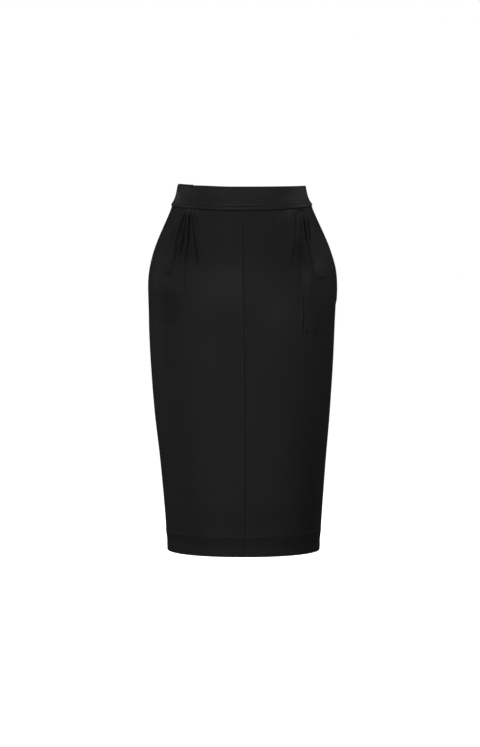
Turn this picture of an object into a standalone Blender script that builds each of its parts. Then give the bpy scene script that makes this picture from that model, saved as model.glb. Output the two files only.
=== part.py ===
"""Pencil skirt, worn and hollow, built from its cut and sewn pieces.

Metres, +Z up. The origin is the centre of the waist at the middle of the
waistband, where the wearer holds the skirt up. The front faces -Y and the
wearer's left is +X. A "turn" is an angle round the body: 0 at the centre
front, 90 degrees at the wearer's left side and 180 degrees at the centre back.
"""

import math
from collections import namedtuple

import bmesh
import bpy
from mathutils import Matrix, Vector

# Heights of the main lines at the side seams
TOP_Z = 0.018
SEAM_Z = -0.018
HEM_Z = -0.6335
LENGTH = SEAM_Z - HEM_Z

# How far the top edge and the waist seam drop from the sides to the centres
TOP_DIP_FRONT = 0.0025
TOP_DIP_BACK = 0.0090
SEAM_DIP_FRONT = 0.0076
SEAM_DIP_BACK = 0.0115
DIP_POWER = 1.25

# Walls
CLOTH = 0.0012          # one layer of the skirt's cloth
TURNED = 0.0026         # two layers pressed flat: the hem and the turned edges
BAND = 0.0026           # the folded waistband
BAG = 0.0010            # one layer of pocketing
TAPE = 0.0010
GAP = 0.0003            # clearance between pieces at every seam
SEAM_TUCK_IN = 0.0004   # how far the cloth rolls in at the waist seam
SEAM_ROLL_REACH = 0.002 # how far down from the seam it does so
HEM_ROLL_REACH = 0.0015 # height of the last row, where the hem's edge is
TURNED_COLUMNS = 1      # lattice columns that a turned edge covers

# Hem, slit and zip
HEM_DEPTH = 0.036
SLIT_DOWN = 0.355       # top of the front slit, below the waist seam
ZIP_DOWN = 0.205        # foot of the zip, below the waist seam
TAPE_WIDTH = 0.0125
TAPE_TAIL = 0.010       # how far the turned edges run on below the zip
SLIDER_DROP = 0.0060    # slider's centre below the top edge
SPLIT_HALF = 0.0011     # half of the parting round the slider's neck
SPLIT_LENGTH = 0.0085
SPLIT_FOOT = 0.0130

# The outer form, a row for each level from the top edge to the hem. The powers
# square the front and back halves slightly; centre is the middle of the section
# and front_seam the centre-front line, both measured across from the origin.
Section = namedtuple(
    "Section",
    "z half_width front_depth back_depth front_power back_power centre front_seam",
)
SECTIONS = (
    Section(0.018, 0.1140, 0.0855, 0.0860, 2.00, 2.00, -0.0008, -0.0012),
    Section(0.000, 0.1176, 0.0870, 0.0890, 2.00, 2.00, -0.0007, -0.0012),
    Section(-0.015, 0.1238, 0.0890, 0.0935, 2.02, 2.00, -0.0005, -0.0012),
    Section(-0.024, 0.1264, 0.0902, 0.0965, 2.04, 2.00, -0.0003, -0.0012),
    Section(-0.045, 0.1354, 0.0930, 0.1030, 2.08, 2.02, 0.0000, -0.0011),
    Section(-0.072, 0.1475, 0.0965, 0.1115, 2.12, 2.04, 0.0002, -0.0010),
    Section(-0.100, 0.1581, 0.0995, 0.1195, 2.16, 2.06, 0.0003, -0.0008),
    Section(-0.129, 0.1650, 0.1020, 0.1265, 2.20, 2.08, 0.0003, -0.0005),
    Section(-0.158, 0.1675, 0.1035, 0.1315, 2.22, 2.10, 0.0003, -0.0002),
    Section(-0.200, 0.1668, 0.1045, 0.1350, 2.24, 2.10, 0.0000, 0.0006),
    Section(-0.243, 0.1655, 0.1055, 0.1345, 2.25, 2.10, -0.0004, 0.0014),
    Section(-0.300, 0.1628, 0.1070, 0.1305, 2.25, 2.10, -0.0002, 0.0026),
    Section(-0.387, 0.1567, 0.1100, 0.1240, 2.24, 2.10, 0.0004, 0.0048),
    Section(-0.473, 0.1483, 0.1125, 0.1190, 2.22, 2.10, 0.0018, 0.0053),
    Section(-0.560, 0.1414, 0.1145, 0.1165, 2.20, 2.12, 0.0026, 0.0053),
    Section(-0.6335, 0.1366, 0.1160, 0.1160, 2.18, 2.14, 0.0027, 0.0053),
)

# Soft folds that hang from the waist tucks. Side is +1 for the wearer's left;
# top and foot are measured across from the centre, start and end down from the
# waist seam; bow bends the fold towards the side.
Fold = namedtuple("Fold", "side top foot start end bow depth half_width")
FOLDS = (
    Fold(-1, 0.103, 0.128, 0.003, 0.135, 0.0020, 0.0026, 0.0058),
    Fold(-1, 0.098, 0.109, 0.003, 0.100, 0.0030, 0.0018, 0.0045),
    Fold(-1, 0.094, 0.102, 0.005, 0.146, 0.0000, 0.0028, 0.0055),
    Fold(-1, 0.087, 0.076, 0.006, 0.112, 0.0015, 0.0024, 0.0060),
    Fold(1, 0.095, 0.082, 0.008, 0.108, 0.0050, 0.0024, 0.0060),
    Fold(1, 0.109, 0.128, 0.004, 0.140, 0.0010, 0.0030, 0.0058),
    Fold(1, 0.116, 0.120, 0.006, 0.074, 0.0000, 0.0016, 0.0045),
)
FOLD_RISE = 0.12        # share of a fold's length over which it deepens
FOLD_FADE = 0.40        # share of its length where it starts to fade
FOLD_NARROW = 0.8       # a fold widens from this share of its half width at the top
FOLD_WIDE = 1.6         # to this share at its foot
SHOULDER = 0.35         # height of the ridges beside a fold, of its depth
SHOULDER_AT = 1.8       # how far out the ridges stand, in half widths

# Front panel lattice: column guides give the share of the quarter turn, from
# the centre front to the side seam, at the waist and from the hip down.
FRONT_COLUMNS = 20
Guide = namedtuple("Guide", "column waist hip")
GUIDES = (Guide(0, 0.0, 0.0), Guide(5, 0.42, 0.27), Guide(15, 0.68, 0.63), Guide(20, 1.0, 1.0))
GUIDE_BLEND = 0.120
FRONT_ROWS = (
    0.0, 0.002, 0.007, 0.014, 0.023, 0.034, 0.047, 0.062, 0.079, 0.097, 0.116, 0.136,
    0.157, 0.172, 0.182, 0.210, 0.228, 0.265, 0.310, 0.355, 0.410, 0.465, 0.520,
)

# Waist tucks stand out between the guides where the folds start
TUCK_COLUMNS = (5, 15)
TUCK_HEIGHT = 0.0010
TUCK_LENGTH = 0.030

# Back panel lattice: shares of the quarter turn from the centre back
BACK_SHARES = (0.0, 0.066, 0.071, 0.17, 0.28, 0.385, 0.42, 0.455, 0.56, 0.67, 0.78, 0.89, 1.0)
BACK_ROWS = (0.0, 0.002, 0.016, 0.040, 0.070, 0.105, 0.145, 0.180, 0.205, 0.215, 0.270, 0.340,
             0.420, 0.500)
DART_COLUMN = 6
DART_LENGTH = 0.115
DART_DEPTH = 0.0008

# In-seam pockets, measured down from the waist seam
MOUTH_TOP = 0.027
MOUTH_FOOT = 0.176
MOUTH_WIDEST = 0.145
MOUTH_GAPE = {-1: 0.0008, 1: 0.0013}
MOUTH_REACH = 5         # columns from the side seam over which the mouth's edge lifts
BAG_COLUMNS = (10, 12, 14, 16, 18, 20)  # front panel columns that the bags' columns follow
BAG_ROWS = 11
BAG_TOP = 0.002
BAG_FOOT = {-1: 0.208, 1: 0.226}
BAG_SEAM_CLEAR = 0.0008 # between a bag's edge and the front panel at the side seam
BAG_HANG = 0.0030       # how far the bags hang clear of the folds
BAG_HANG_REACH = 4      # columns from the side seam over which they come clear

# Waistband rows: share of the way from the top edge to the waist seam, a shift
# up from there, and how proud the outer face stands
BandRow = namedtuple("BandRow", "share rise proud")
RIDGE = 0.0004
BAND_ROWS = (
    BandRow(0.0, 0.0, -0.0007),
    BandRow(0.0, -0.0012, 0.0),
    BandRow(0.0, -SPLIT_LENGTH, 0.0),
    BandRow(0.0, -SPLIT_FOOT, 0.0),
    BandRow(0.62, 0.0, 0.0),
    BandRow(1.0, 0.0074, 0.0),
    BandRow(1.0, 0.0064, RIDGE),
    BandRow(1.0, 0.0010, RIDGE),
    BandRow(1.0, 0.0, -SEAM_TUCK_IN),
)
BAND_FRONT_COLUMNS = 24
BAND_BACK_COLUMNS = 12
TAPE_TOP_ROW = 1        # the band row where the zip's tapes start

# The zip's slider and pull, in the slider's own axes: X across, Y out, Z up
BODY_SIZE = Vector((0.0080, 0.0022, 0.0090))
NECK_WIDTH = 0.0014
NECK_LENGTH = 0.0040
PLATE_SIZE = Vector((0.0052, 0.0008, 0.0084))
PLATE_LIFT = 0.0004     # clear of the cloth
CROWN_WIDTH = 0.0018
CROWN_LENGTH = 0.0060
CROWN_BAR = 0.0009
WINDOW_LENGTH = 0.0042
WINDOW_HEIGHT = 0.0021
OVERLAP = 0.0002        # how deep joined shapes run into each other
PULL_THICK = 0.0012
PULL_LENGTH = 0.0210
PULL_HEAD_HALF = 0.00265
PULL_FOOT_HALF = 0.0032
PULL_EYE_HALF = 0.00135
PULL_EYE_LENGTH = 0.0034
PULL_REST_CLEAR = 0.00035
PULL_SAMPLES = 12
PULL_FOOT_SIDES = 8     # straight sides of the tab's round foot
METAL_EDGE = 0.0005     # width of the slider body's bevels

SHARP_ANGLE = math.radians(40)
QUARTER = math.pi / 2
SMALL_TURN = math.radians(0.4)
SMALL_RISE = 0.0005

Spot = namedtuple("Spot", "turn z column down")


def smooth_step(share):
    share = min(max(share, 0.0), 1.0)
    return share * share * (3 - 2 * share)


def mix(low, high, share):
    return low + (high - low) * share


def section_at(z):
    """The outer form's section at a height, on a smooth curve through the rows."""
    rows = SECTIONS
    last = len(rows) - 2
    i = next((k for k in range(last) if z > rows[k + 1].z), last)
    below, above = rows[i + 1], rows[i]
    reach = below.z - above.z
    share = (z - above.z) / reach
    before, after = rows[max(i - 1, 0)], rows[min(i + 2, last + 1)]
    values = []
    for left, a, b, right in zip(before, above, below, after):
        start = (b - left) / (below.z - before.z)
        end = (right - a) / (after.z - above.z)
        cubic = (2 * share**3 - 3 * share**2 + 1) * a + (3 * share**2 - 2 * share**3) * b
        bend = (share**3 - 2 * share**2 + share) * start + (share**3 - share**2) * end
        values.append(cubic + bend * reach)
    return Section(*values)


def signed_power(value, power):
    return math.copysign(abs(value) ** power, value)


def skin(turn, z):
    """A point on the smooth outer form."""
    s = section_at(z)
    facing = math.cos(turn)
    depth, power = (s.front_depth, s.front_power) if facing > 0 else (s.back_depth, s.back_power)
    across = signed_power(math.sin(turn), 2 / power)
    return Vector((s.centre + s.half_width * across, -depth * signed_power(facing, 2 / power), z))


def outward(turn, z):
    """The outer form's normal, away from the body."""
    across = skin(turn + SMALL_TURN, z) - skin(turn - SMALL_TURN, z)
    down = skin(turn, z - SMALL_RISE) - skin(turn, z + SMALL_RISE)
    return down.cross(across).normalized()


def metres_per_turn(turn, z):
    return (skin(turn + SMALL_TURN, z) - skin(turn - SMALL_TURN, z)).length / (2 * SMALL_TURN)


def turn_at(across, z):
    """The turn, on the front half, of a point this far across from the centre."""
    s = section_at(z)
    share = min(across / s.half_width, 1.0)
    return math.asin(share ** (s.front_power / 2))


def centre_front_turn(z):
    s = section_at(z)
    return math.copysign(turn_at(abs(s.front_seam - s.centre), z), s.front_seam - s.centre)


def dipped(turn, side_z, front_dip, back_dip):
    """A line round the body that drops from the sides to the centres."""
    facing = math.cos(turn)
    return side_z - (front_dip if facing > 0 else back_dip) * abs(facing) ** DIP_POWER


def top_edge(turn):
    return dipped(turn, TOP_Z, TOP_DIP_FRONT, TOP_DIP_BACK)


def waist_seam(turn):
    return dipped(turn, SEAM_Z, SEAM_DIP_FRONT, SEAM_DIP_BACK)


def height(turn, down):
    """Height of a point this far down a panel, as measured at the side seam."""
    start = waist_seam(turn) - GAP / 2
    return mix(start, HEM_Z, down / LENGTH)


def seen_fold(fold, turn, z, down):
    """How far one fold moves the cloth here, out of the smooth form."""
    along = (down - fold.start) / (fold.end - fold.start)
    if not 0 < along < 1:
        return 0.0
    across = mix(fold.top, fold.foot, along) + fold.bow * 4 * along * (1 - along)
    half_width = fold.half_width * mix(FOLD_NARROW, FOLD_WIDE, along)
    away = abs(abs(turn) - turn_at(across, z)) * metres_per_turn(turn, z) / half_width
    strength = smooth_step(along / FOLD_RISE) * (1 - smooth_step((along - FOLD_FADE) / (1 - FOLD_FADE)))
    trough = math.exp(-away * away)
    ridge = SHOULDER * math.exp(-((away - SHOULDER_AT) ** 2))
    return fold.depth * strength * (ridge - trough)


def tuck_relief(column, down):
    """The tucks: one column out and one in, fading below the waist seam."""
    first, last = TUCK_COLUMNS
    if not first <= column <= last:
        return 0.0
    wave = -math.cos(math.pi * (column - first))
    rise = smooth_step(down / SEAM_ROLL_REACH)
    return TUCK_HEIGHT * wave * rise * (1 - smooth_step(down / TUCK_LENGTH))


def mouth_lift(side, spot):
    """The pocket mouth's front edge stands a little away from the back panel."""
    reach = smooth_step(1 - (FRONT_COLUMNS - spot.column) / MOUTH_REACH)
    if spot.down < MOUTH_WIDEST:
        opening = smooth_step((spot.down - MOUTH_TOP) / (MOUTH_WIDEST - MOUTH_TOP))
    else:
        opening = 1 - smooth_step((spot.down - MOUTH_WIDEST) / (MOUTH_FOOT - MOUTH_WIDEST))
    return MOUTH_GAPE[side] * reach * opening


def front_relief(side, spot):
    folds = sum(seen_fold(f, spot.turn, spot.z, spot.down) for f in FOLDS if f.side == side)
    return folds + tuck_relief(spot.column, spot.down)


def rows_to_hem(rows):
    """A panel's rows, with a step where the hem's inner layer ends."""
    hem = LENGTH - HEM_DEPTH
    return rows + (hem - GAP, hem + GAP, LENGTH - HEM_ROLL_REACH, LENGTH)


def front_share(column, down):
    """Share of the quarter turn where a column stands at this level."""
    blend = smooth_step(down / GUIDE_BLEND)
    for low, high in zip(GUIDES, GUIDES[1:]):
        if column <= high.column:
            along = (column - low.column) / (high.column - low.column)
            return mix(mix(low.waist, high.waist, along), mix(low.hip, high.hip, along), blend)
    return 1.0


def front_spot(side, column, down):
    """A point of the front panel's lattice, on a column at this level."""
    level = mix(SEAM_Z, HEM_Z, down / LENGTH)
    inner = side * centre_front_turn(level) + GAP / 2 / metres_per_turn(0.0, level)
    outer = QUARTER - GAP / 2 / metres_per_turn(QUARTER - 2 * SMALL_TURN, level)
    turn = side * mix(inner, outer, front_share(column, down))
    return Spot(turn, height(turn, down), column, down)


def front_spots(side):
    """The front panel's lattice: rows down from the waist seam, columns from the centre front."""
    columns = range(FRONT_COLUMNS + 1)
    return [[front_spot(side, column, down) for column in columns] for down in rows_to_hem(FRONT_ROWS)]


def back_spots(side):
    """The back panel's lattice: rows down from the waist seam, columns from the centre back."""
    lattice = []
    for down in rows_to_hem(BACK_ROWS):
        level = mix(SEAM_Z, HEM_Z, down / LENGTH)
        inner = GAP / 2 / metres_per_turn(math.pi, level)
        outer = QUARTER - GAP / 2 / metres_per_turn(QUARTER + 2 * SMALL_TURN, level)
        row = []
        for column, share in enumerate(BACK_SHARES):
            turn = side * (math.pi - mix(inner, outer, share))
            row.append(Spot(turn, height(turn, down), column, down))
        lattice.append(row)
    return lattice


def place(spot, offset):
    return skin(spot.turn, spot.z) + outward(spot.turn, spot.z) * offset


def seam_roll(down):
    """The cloth rolls in where it meets the waistband."""
    return -SEAM_TUCK_IN * (1 - smooth_step(down / SEAM_ROLL_REACH))


def panel_wall(spot, turned_edge):
    """One layer of cloth, or two in the hem and along a turned edge."""
    in_hem = spot.down > LENGTH - HEM_DEPTH
    return TURNED if in_hem or turned_edge else CLOTH


def shell(name, outer, inner, material):
    """A closed wall between two lattices of points with the same rows and columns."""
    mesh = bmesh.new()
    right_side = [[mesh.verts.new(p) for p in row] for row in outer]
    wrong_side = [[mesh.verts.new(p) for p in row] for row in inner]
    last_row, last_column = len(outer) - 1, len(outer[0]) - 1
    for r in range(last_row):
        for c in range(last_column):
            for grid in (right_side, wrong_side):
                mesh.faces.new((grid[r][c], grid[r + 1][c], grid[r + 1][c + 1], grid[r][c + 1]))
    for c in range(last_column):
        for r in (0, last_row):
            mesh.faces.new((right_side[r][c], right_side[r][c + 1], wrong_side[r][c + 1], wrong_side[r][c]))
    for r in range(last_row):
        for c in (0, last_column):
            mesh.faces.new((right_side[r][c], right_side[r + 1][c], wrong_side[r + 1][c], wrong_side[r][c]))
    bmesh.ops.recalc_face_normals(mesh, faces=mesh.faces)
    return finish(name, mesh, material)


def finish(name, mesh, material):
    """Turns a bmesh into a named object of one material."""
    data = bpy.data.meshes.new(name)
    mesh.to_mesh(data)
    mesh.free()
    data.shade_smooth()
    data.set_sharp_from_angle(angle=SHARP_ANGLE)
    data.materials.append(material)
    piece = bpy.data.objects.new(name, data)
    bpy.context.scene.collection.objects.link(piece)
    return piece


def make_material(name, colour, roughness, metallic=0.0):
    material = bpy.data.materials.new(name)
    material.use_nodes = True
    shader = material.node_tree.nodes["Principled BSDF"]
    shader.inputs["Base Color"].default_value = (*colour, 1.0)
    shader.inputs["Roughness"].default_value = roughness
    shader.inputs["Metallic"].default_value = metallic
    return material


def front_panel(side, name, material):
    spots = front_spots(side)
    outer, inner = [], []
    for row in spots:
        reliefs = [front_relief(side, s) + mouth_lift(side, s) for s in row]
        walls = [panel_wall(s, s.down > SLIT_DOWN and s.column <= TURNED_COLUMNS) for s in row]
        outer.append([place(s, relief + seam_roll(s.down)) for s, relief in zip(row, reliefs)])
        inner.append([place(s, relief - w) for s, relief, w in zip(row, reliefs, walls)])
    return shell(name, outer, inner, material)


def pocket_bag(side, layer, name, material):
    """A layer of the pocket bag, hanging flat behind the front panel; layer 0 is the front one."""
    face = CLOTH + BAG_SEAM_CLEAR + layer * (BAG + GAP)
    outer, inner = [], []
    for k in range(BAG_ROWS + 1):
        row = [front_spot(side, column, mix(BAG_TOP, BAG_FOOT[side], k / BAG_ROWS)) for column in BAG_COLUMNS]
        lifts = [mouth_lift(side, s) if layer == 0 else 0.0 for s in row]
        hangs = [BAG_HANG * smooth_step((FRONT_COLUMNS - s.column) / BAG_HANG_REACH) for s in row]
        faces = [lift - hang - face for lift, hang in zip(lifts, hangs)]
        outer.append([place(s, depth) for s, depth in zip(row, faces)])
        inner.append([place(s, depth - BAG) for s, depth in zip(row, faces)])
    return shell(name, outer, inner, material)


def back_panel(side, name, material):
    outer, inner = [], []
    for row in back_spots(side):
        outer_row, inner_row = [], []
        for s in row:
            dart = -DART_DEPTH * max(1 - s.down / DART_LENGTH, 0.0) if s.column == DART_COLUMN else 0.0
            wall = panel_wall(s, s.down < ZIP_DOWN + TAPE_TAIL and s.column <= TURNED_COLUMNS)
            outer_row.append(place(s, dart + seam_roll(s.down)))
            inner_row.append(place(s, dart - wall))
        outer.append(outer_row)
        inner.append(inner_row)
    return shell(name, outer, inner, material)


def zip_half_gap(below_top):
    """Half the parting between the zip's two sides, wider round the slider's neck."""
    closed = smooth_step((below_top - SPLIT_LENGTH) / (SPLIT_FOOT - SPLIT_LENGTH))
    return mix(SPLIT_HALF, GAP / 2, closed)


def waistband(name, first, last, columns, material, zip_side=0):
    """A stretch of waistband; zip_side is the column end, -1 or 1, that meets the zip."""
    outer, inner = [], []
    for band_row in BAND_ROWS:
        outer_row, inner_row = [], []
        for column in range(columns + 1):
            turn = mix(first, last, column / columns)
            spot = band_spot(turn, band_row, column)
            for end, edge in ((-1, 0), (1, columns)):
                if column == edge:
                    below_top = top_edge(turn) - spot.z
                    half = zip_half_gap(below_top) if end == zip_side else GAP / 2
                    inward_turn = -end * half / metres_per_turn(turn - end * 2 * SMALL_TURN, spot.z)
                    spot = band_spot(turn + inward_turn, band_row, column)
            rounding = min(band_row.proud, 0.0) if band_row is BAND_ROWS[0] else 0.0
            outer_row.append(place(spot, band_row.proud))
            inner_row.append(place(spot, -BAND - rounding))
        outer.append(outer_row)
        inner.append(inner_row)
    return shell(name, outer, inner, material)


def band_spot(turn, band_row, column):
    top = top_edge(turn)
    foot = waist_seam(turn) + GAP / 2
    return Spot(turn, mix(top, foot, band_row.share) + band_row.rise, column, 0.0)


def zip_tape(side, name, material):
    """One tape of the zip, flat behind the band and the back panel's turned edge, on their own rows."""
    outer, inner = [], []
    for band_row in BAND_ROWS[TAPE_TOP_ROW:]:
        z = band_spot(math.pi, band_row, 0).z
        speed = metres_per_turn(math.pi, z)
        ends = (zip_half_gap(top_edge(math.pi) - z), TAPE_WIDTH)
        spots = [Spot(side * (math.pi - away / speed), z, 0, 0.0) for away in ends]
        outer.append([place(s, -BAND - GAP) for s in spots])
        inner.append([place(s, -BAND - GAP - TAPE) for s in spots])
    for row in back_spots(side):
        if row[0].down > ZIP_DOWN:
            break
        inward = -outward(row[0].turn, row[0].z)
        edge, cloth = place(row[0], -TURNED), place(row[1], -TURNED)
        ends = (edge, edge.lerp(cloth, TAPE_WIDTH / (cloth - edge).length))
        outer.append([p + inward * GAP for p in ends])
        inner.append([p + inward * (GAP + TAPE) for p in ends])
    return shell(name, outer, inner, material)


def add_block(mesh, size, centre):
    """Adds a box of the given size to a bmesh."""
    scale = Matrix.Diagonal((*size, 1.0))
    bmesh.ops.create_cube(mesh, size=1.0, matrix=Matrix.Translation(centre) @ scale)


def block_object(name, size, centre, material):
    mesh = bmesh.new()
    add_block(mesh, size, centre)
    return finish(name, mesh, material)


def join_shape(piece, other):
    """Unites another object into a piece and keeps the other as a guide."""
    union = piece.modifiers.new("join_" + other.name, "BOOLEAN")
    union.operation = "UNION"
    union.object = other
    other.hide_render = True
    other.display_type = "WIRE"
    other.parent = piece


def crown_object(material, base):
    """The bridge that holds the pull: a bar on two legs, with a window under it."""
    mesh = bmesh.new()
    leg = (CROWN_LENGTH - WINDOW_LENGTH) / 2
    rise = WINDOW_HEIGHT + CROWN_BAR + OVERLAP
    half = CROWN_LENGTH / 2
    outline = (
        (-half, 0.0), (-half, rise), (half, rise), (half, 0.0), (half - leg, 0.0),
        (half - leg, rise - CROWN_BAR), (leg - half, rise - CROWN_BAR), (leg - half, 0.0),
    )
    verts = [mesh.verts.new((-CROWN_WIDTH / 2, base - OVERLAP + out, up)) for up, out in outline]
    face = mesh.faces.new(verts)
    grown = bmesh.ops.extrude_face_region(mesh, geom=[face])
    moved = [v for v in grown["geom"] if isinstance(v, bmesh.types.BMVert)]
    bmesh.ops.translate(mesh, verts=moved, vec=(CROWN_WIDTH, 0.0, 0.0))
    bmesh.ops.recalc_face_normals(mesh, faces=mesh.faces)
    return finish("crown_guide", mesh, material)


def zip_slider(frame, material):
    """The slider: its body behind the tapes, a neck through the split and a plate with its crown outside."""
    tape_back = -(TURNED + GAP + TAPE)
    body_y = tape_back - GAP - BODY_SIZE.y / 2
    neck_foot = body_y + BODY_SIZE.y / 2 - OVERLAP
    neck_top = PLATE_LIFT + OVERLAP
    neck = Vector((NECK_WIDTH, neck_top - neck_foot, NECK_LENGTH))
    slider = block_object("zip_slider", BODY_SIZE, Vector((0.0, body_y, 0.0)), material)
    round_edges(slider)
    neck_centre = Vector((0.0, (neck_top + neck_foot) / 2, 0.0))
    plate_centre = Vector((0.0, PLATE_LIFT + PLATE_SIZE.y / 2, 0.0))
    join_shape(slider, block_object("neck_guide", neck, neck_centre, material))
    join_shape(slider, block_object("plate_guide", PLATE_SIZE, plate_centre, material))
    join_shape(slider, crown_object(material, PLATE_LIFT + PLATE_SIZE.y))
    slider.matrix_world = frame
    return slider


def round_edges(piece):
    bevel = piece.modifiers.new("rounding", "BEVEL")
    bevel.width = METAL_EDGE
    bevel.segments = 1
    bevel.limit_method = "ANGLE"


def rest_lean(frame, axis_out):
    """How far the hanging pull leans in towards the cloth before it would touch it."""
    to_frame = frame.inverted()
    leans = []
    for k in range(1, PULL_SAMPLES + 1):
        along = PULL_LENGTH * k / PULL_SAMPLES
        on_cloth = to_frame @ skin(math.pi, frame.translation.z - along)
        room = axis_out - PULL_THICK / 2 - PULL_REST_CLEAR - on_cloth.y
        leans.append(math.asin(room / along) if room < along else QUARTER)
    return min(leans)


def zip_pull(frame, axis_out, material):
    """The pull tab: a plate with an eye round the crown's window, hanging from its top bar."""
    half = PULL_THICK / 2
    foot_centre = PULL_FOOT_HALF - PULL_LENGTH
    outline = [(-PULL_HEAD_HALF, half), (-PULL_FOOT_HALF, foot_centre)]
    for k in range(1, PULL_FOOT_SIDES):
        angle = math.pi + math.pi * k / PULL_FOOT_SIDES
        outline.append((PULL_FOOT_HALF * math.cos(angle), foot_centre + PULL_FOOT_HALF * math.sin(angle)))
    outline += [(PULL_FOOT_HALF, foot_centre), (PULL_HEAD_HALF, half)]
    eye = [(x, z) for z in (-half, -half - PULL_EYE_LENGTH) for x in (-PULL_EYE_HALF, PULL_EYE_HALF)]
    mesh = bmesh.new()
    rims = []
    for points in (outline, [eye[0], eye[2], eye[3], eye[1]]):
        ring = [mesh.verts.new((x, -half, z)) for x, z in points]
        rims += [mesh.edges.new(pair) for pair in zip(ring, ring[1:] + ring[:1])]
    filled = bmesh.ops.triangle_fill(mesh, edges=rims, use_beauty=True)
    faces = [g for g in filled["geom"] if isinstance(g, bmesh.types.BMFace)]
    grown = bmesh.ops.extrude_face_region(mesh, geom=faces)
    moved = [v for v in grown["geom"] if isinstance(v, bmesh.types.BMVert)]
    bmesh.ops.translate(mesh, verts=moved, vec=(0.0, PULL_THICK, 0.0))
    bmesh.ops.recalc_face_normals(mesh, faces=mesh.faces)
    pull = finish("zip_pull", mesh, material)
    hinge = bpy.data.objects.new("pull_hinge", None)
    bpy.context.scene.collection.objects.link(hinge)
    lean = rest_lean(frame, axis_out)
    hinge.matrix_world = frame @ Matrix.Translation((0.0, axis_out, 0.0)) @ Matrix.Rotation(-lean, 4, "X")
    pull.parent = hinge
    return pull


def zip_frame():
    """The slider's axes on the cloth at the centre back: X across, Y out of the cloth, Z up along it."""
    z = top_edge(math.pi) - SLIDER_DROP
    out = outward(math.pi, z)
    across = Vector((1.0, 0.0, 0.0))
    up = across.cross(out)
    turned = Matrix((across, out, up)).transposed().to_4x4()
    return Matrix.Translation(skin(math.pi, z)) @ turned


def main():
    for old in list(bpy.data.objects):
        bpy.data.objects.remove(old)
    cloth = make_material("black_cloth", (0.013, 0.013, 0.013), 0.62)
    band_cloth = make_material("waistband_cloth", (0.014, 0.014, 0.014), 0.55)
    pocketing = make_material("pocketing", (0.016, 0.016, 0.016), 0.80)
    tape = make_material("zip_tape", (0.015, 0.015, 0.015), 0.85)
    metal = make_material("black_metal", (0.020, 0.020, 0.020), 0.35, 0.9)

    waistband("waistband_front", -QUARTER, QUARTER, BAND_FRONT_COLUMNS, band_cloth)
    waistband("waistband_back_left", QUARTER, math.pi, BAND_BACK_COLUMNS, band_cloth, 1)
    waistband("waistband_back_right", -math.pi, -QUARTER, BAND_BACK_COLUMNS, band_cloth, -1)
    for side, word in ((1, "left"), (-1, "right")):
        front_panel(side, "front_panel_" + word, cloth)
        back_panel(side, "back_panel_" + word, cloth)
        pocket_bag(side, 0, "pocket_bag_front_" + word, pocketing)
        pocket_bag(side, 1, "pocket_bag_back_" + word, pocketing)
        zip_tape(side, "zip_tape_" + word, tape)
    frame = zip_frame()
    zip_slider(frame, metal)
    zip_pull(frame, PLATE_LIFT + PLATE_SIZE.y + WINDOW_HEIGHT / 2, metal)


main()
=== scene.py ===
import math

import bpy
import numpy as np
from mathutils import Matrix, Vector


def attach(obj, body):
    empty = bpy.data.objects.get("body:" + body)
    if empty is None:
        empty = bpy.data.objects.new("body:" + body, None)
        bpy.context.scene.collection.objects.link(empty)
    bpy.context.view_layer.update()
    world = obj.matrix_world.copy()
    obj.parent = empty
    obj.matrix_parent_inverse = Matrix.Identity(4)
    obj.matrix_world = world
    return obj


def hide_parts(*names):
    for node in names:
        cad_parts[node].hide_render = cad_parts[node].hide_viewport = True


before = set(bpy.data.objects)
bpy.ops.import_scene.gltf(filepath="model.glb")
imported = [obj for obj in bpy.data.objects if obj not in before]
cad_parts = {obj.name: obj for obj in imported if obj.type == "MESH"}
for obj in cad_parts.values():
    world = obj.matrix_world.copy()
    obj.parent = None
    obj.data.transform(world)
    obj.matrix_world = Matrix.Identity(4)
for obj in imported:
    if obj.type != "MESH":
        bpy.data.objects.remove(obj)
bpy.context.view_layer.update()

print("frame loaded:", len(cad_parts), "nodes")

mm = 0.001
# the worn outer form in millimetres, level by level from the top edge to the hem
form = dict(
    z=[18, 0, -15, -24, -45, -72, -100, -129, -158, -200, -243, -300, -387, -473, -560, -633.5],
    halfWidth=[114, 117.6, 123.8, 126.4, 135.4, 147.5, 158.1, 165, 167.5, 166.8, 165.5, 162.8, 156.7, 148.3,
               141.4, 136.6],
    frontDepth=[85.5, 87, 89, 90.2, 93, 96.5, 99.5, 102, 103.5, 104.5, 105.5, 107, 110, 112.5, 114.5, 116],
    backDepth=[86, 89, 93.5, 96.5, 103, 111.5, 119.5, 126.5, 131.5, 135, 134.5, 130.5, 124, 119, 116.5,
               116],
    centre=[-0.8, -0.7, -0.5, -0.3, 0, 0.2, 0.3, 0.3, 0.3, 0, -0.4, -0.2, 0.4, 1.8, 2.6, 2.7],
    frontSeam=[-1.2, -1.2, -1.2, -1.2, -1.1, -1, -0.8, -0.5, -0.2, 0.6, 1.4, 2.6, 4.8, 5.3, 5.3, 5.3],
)
# how square it is in front and at the back, where 2 is an ellipse
squareness = dict(
    frontPower=[2, 2, 2.02, 2.04, 2.08, 2.12, 2.16, 2.2, 2.22, 2.24, 2.25, 2.25, 2.24, 2.22, 2.2, 2.18],
    backPower=[2, 2, 2, 2, 2.02, 2.04, 2.06, 2.08, 2.1, 2.1, 2.1, 2.1, 2.1, 2.1, 2.12, 2.14],
)
# heights of the main lines at the side seams, how far they drop to the centres, and the layers
cut = dict(
    topZ=0.018, seamZ=-0.018, hemZ=-0.6335, length=0.6155,
    topDip=(0.0018, 0.0090), seamDip=(0.0076, 0.0115), dipPower=1.25,
    cloth=0.0012, turned=0.0026, band=0.0026, bag=0.0010, thin=0.0006, gap=0.0003,
    hemDepth=0.036, slitDown=0.355, zipDown=0.205, joinHalf=-0.00001,
)
hemTop = cut["length"] - cut["hemDepth"]
quarter = math.pi / 2
smallTurn = math.radians(0.4)
smallRise = 0.0005

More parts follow.
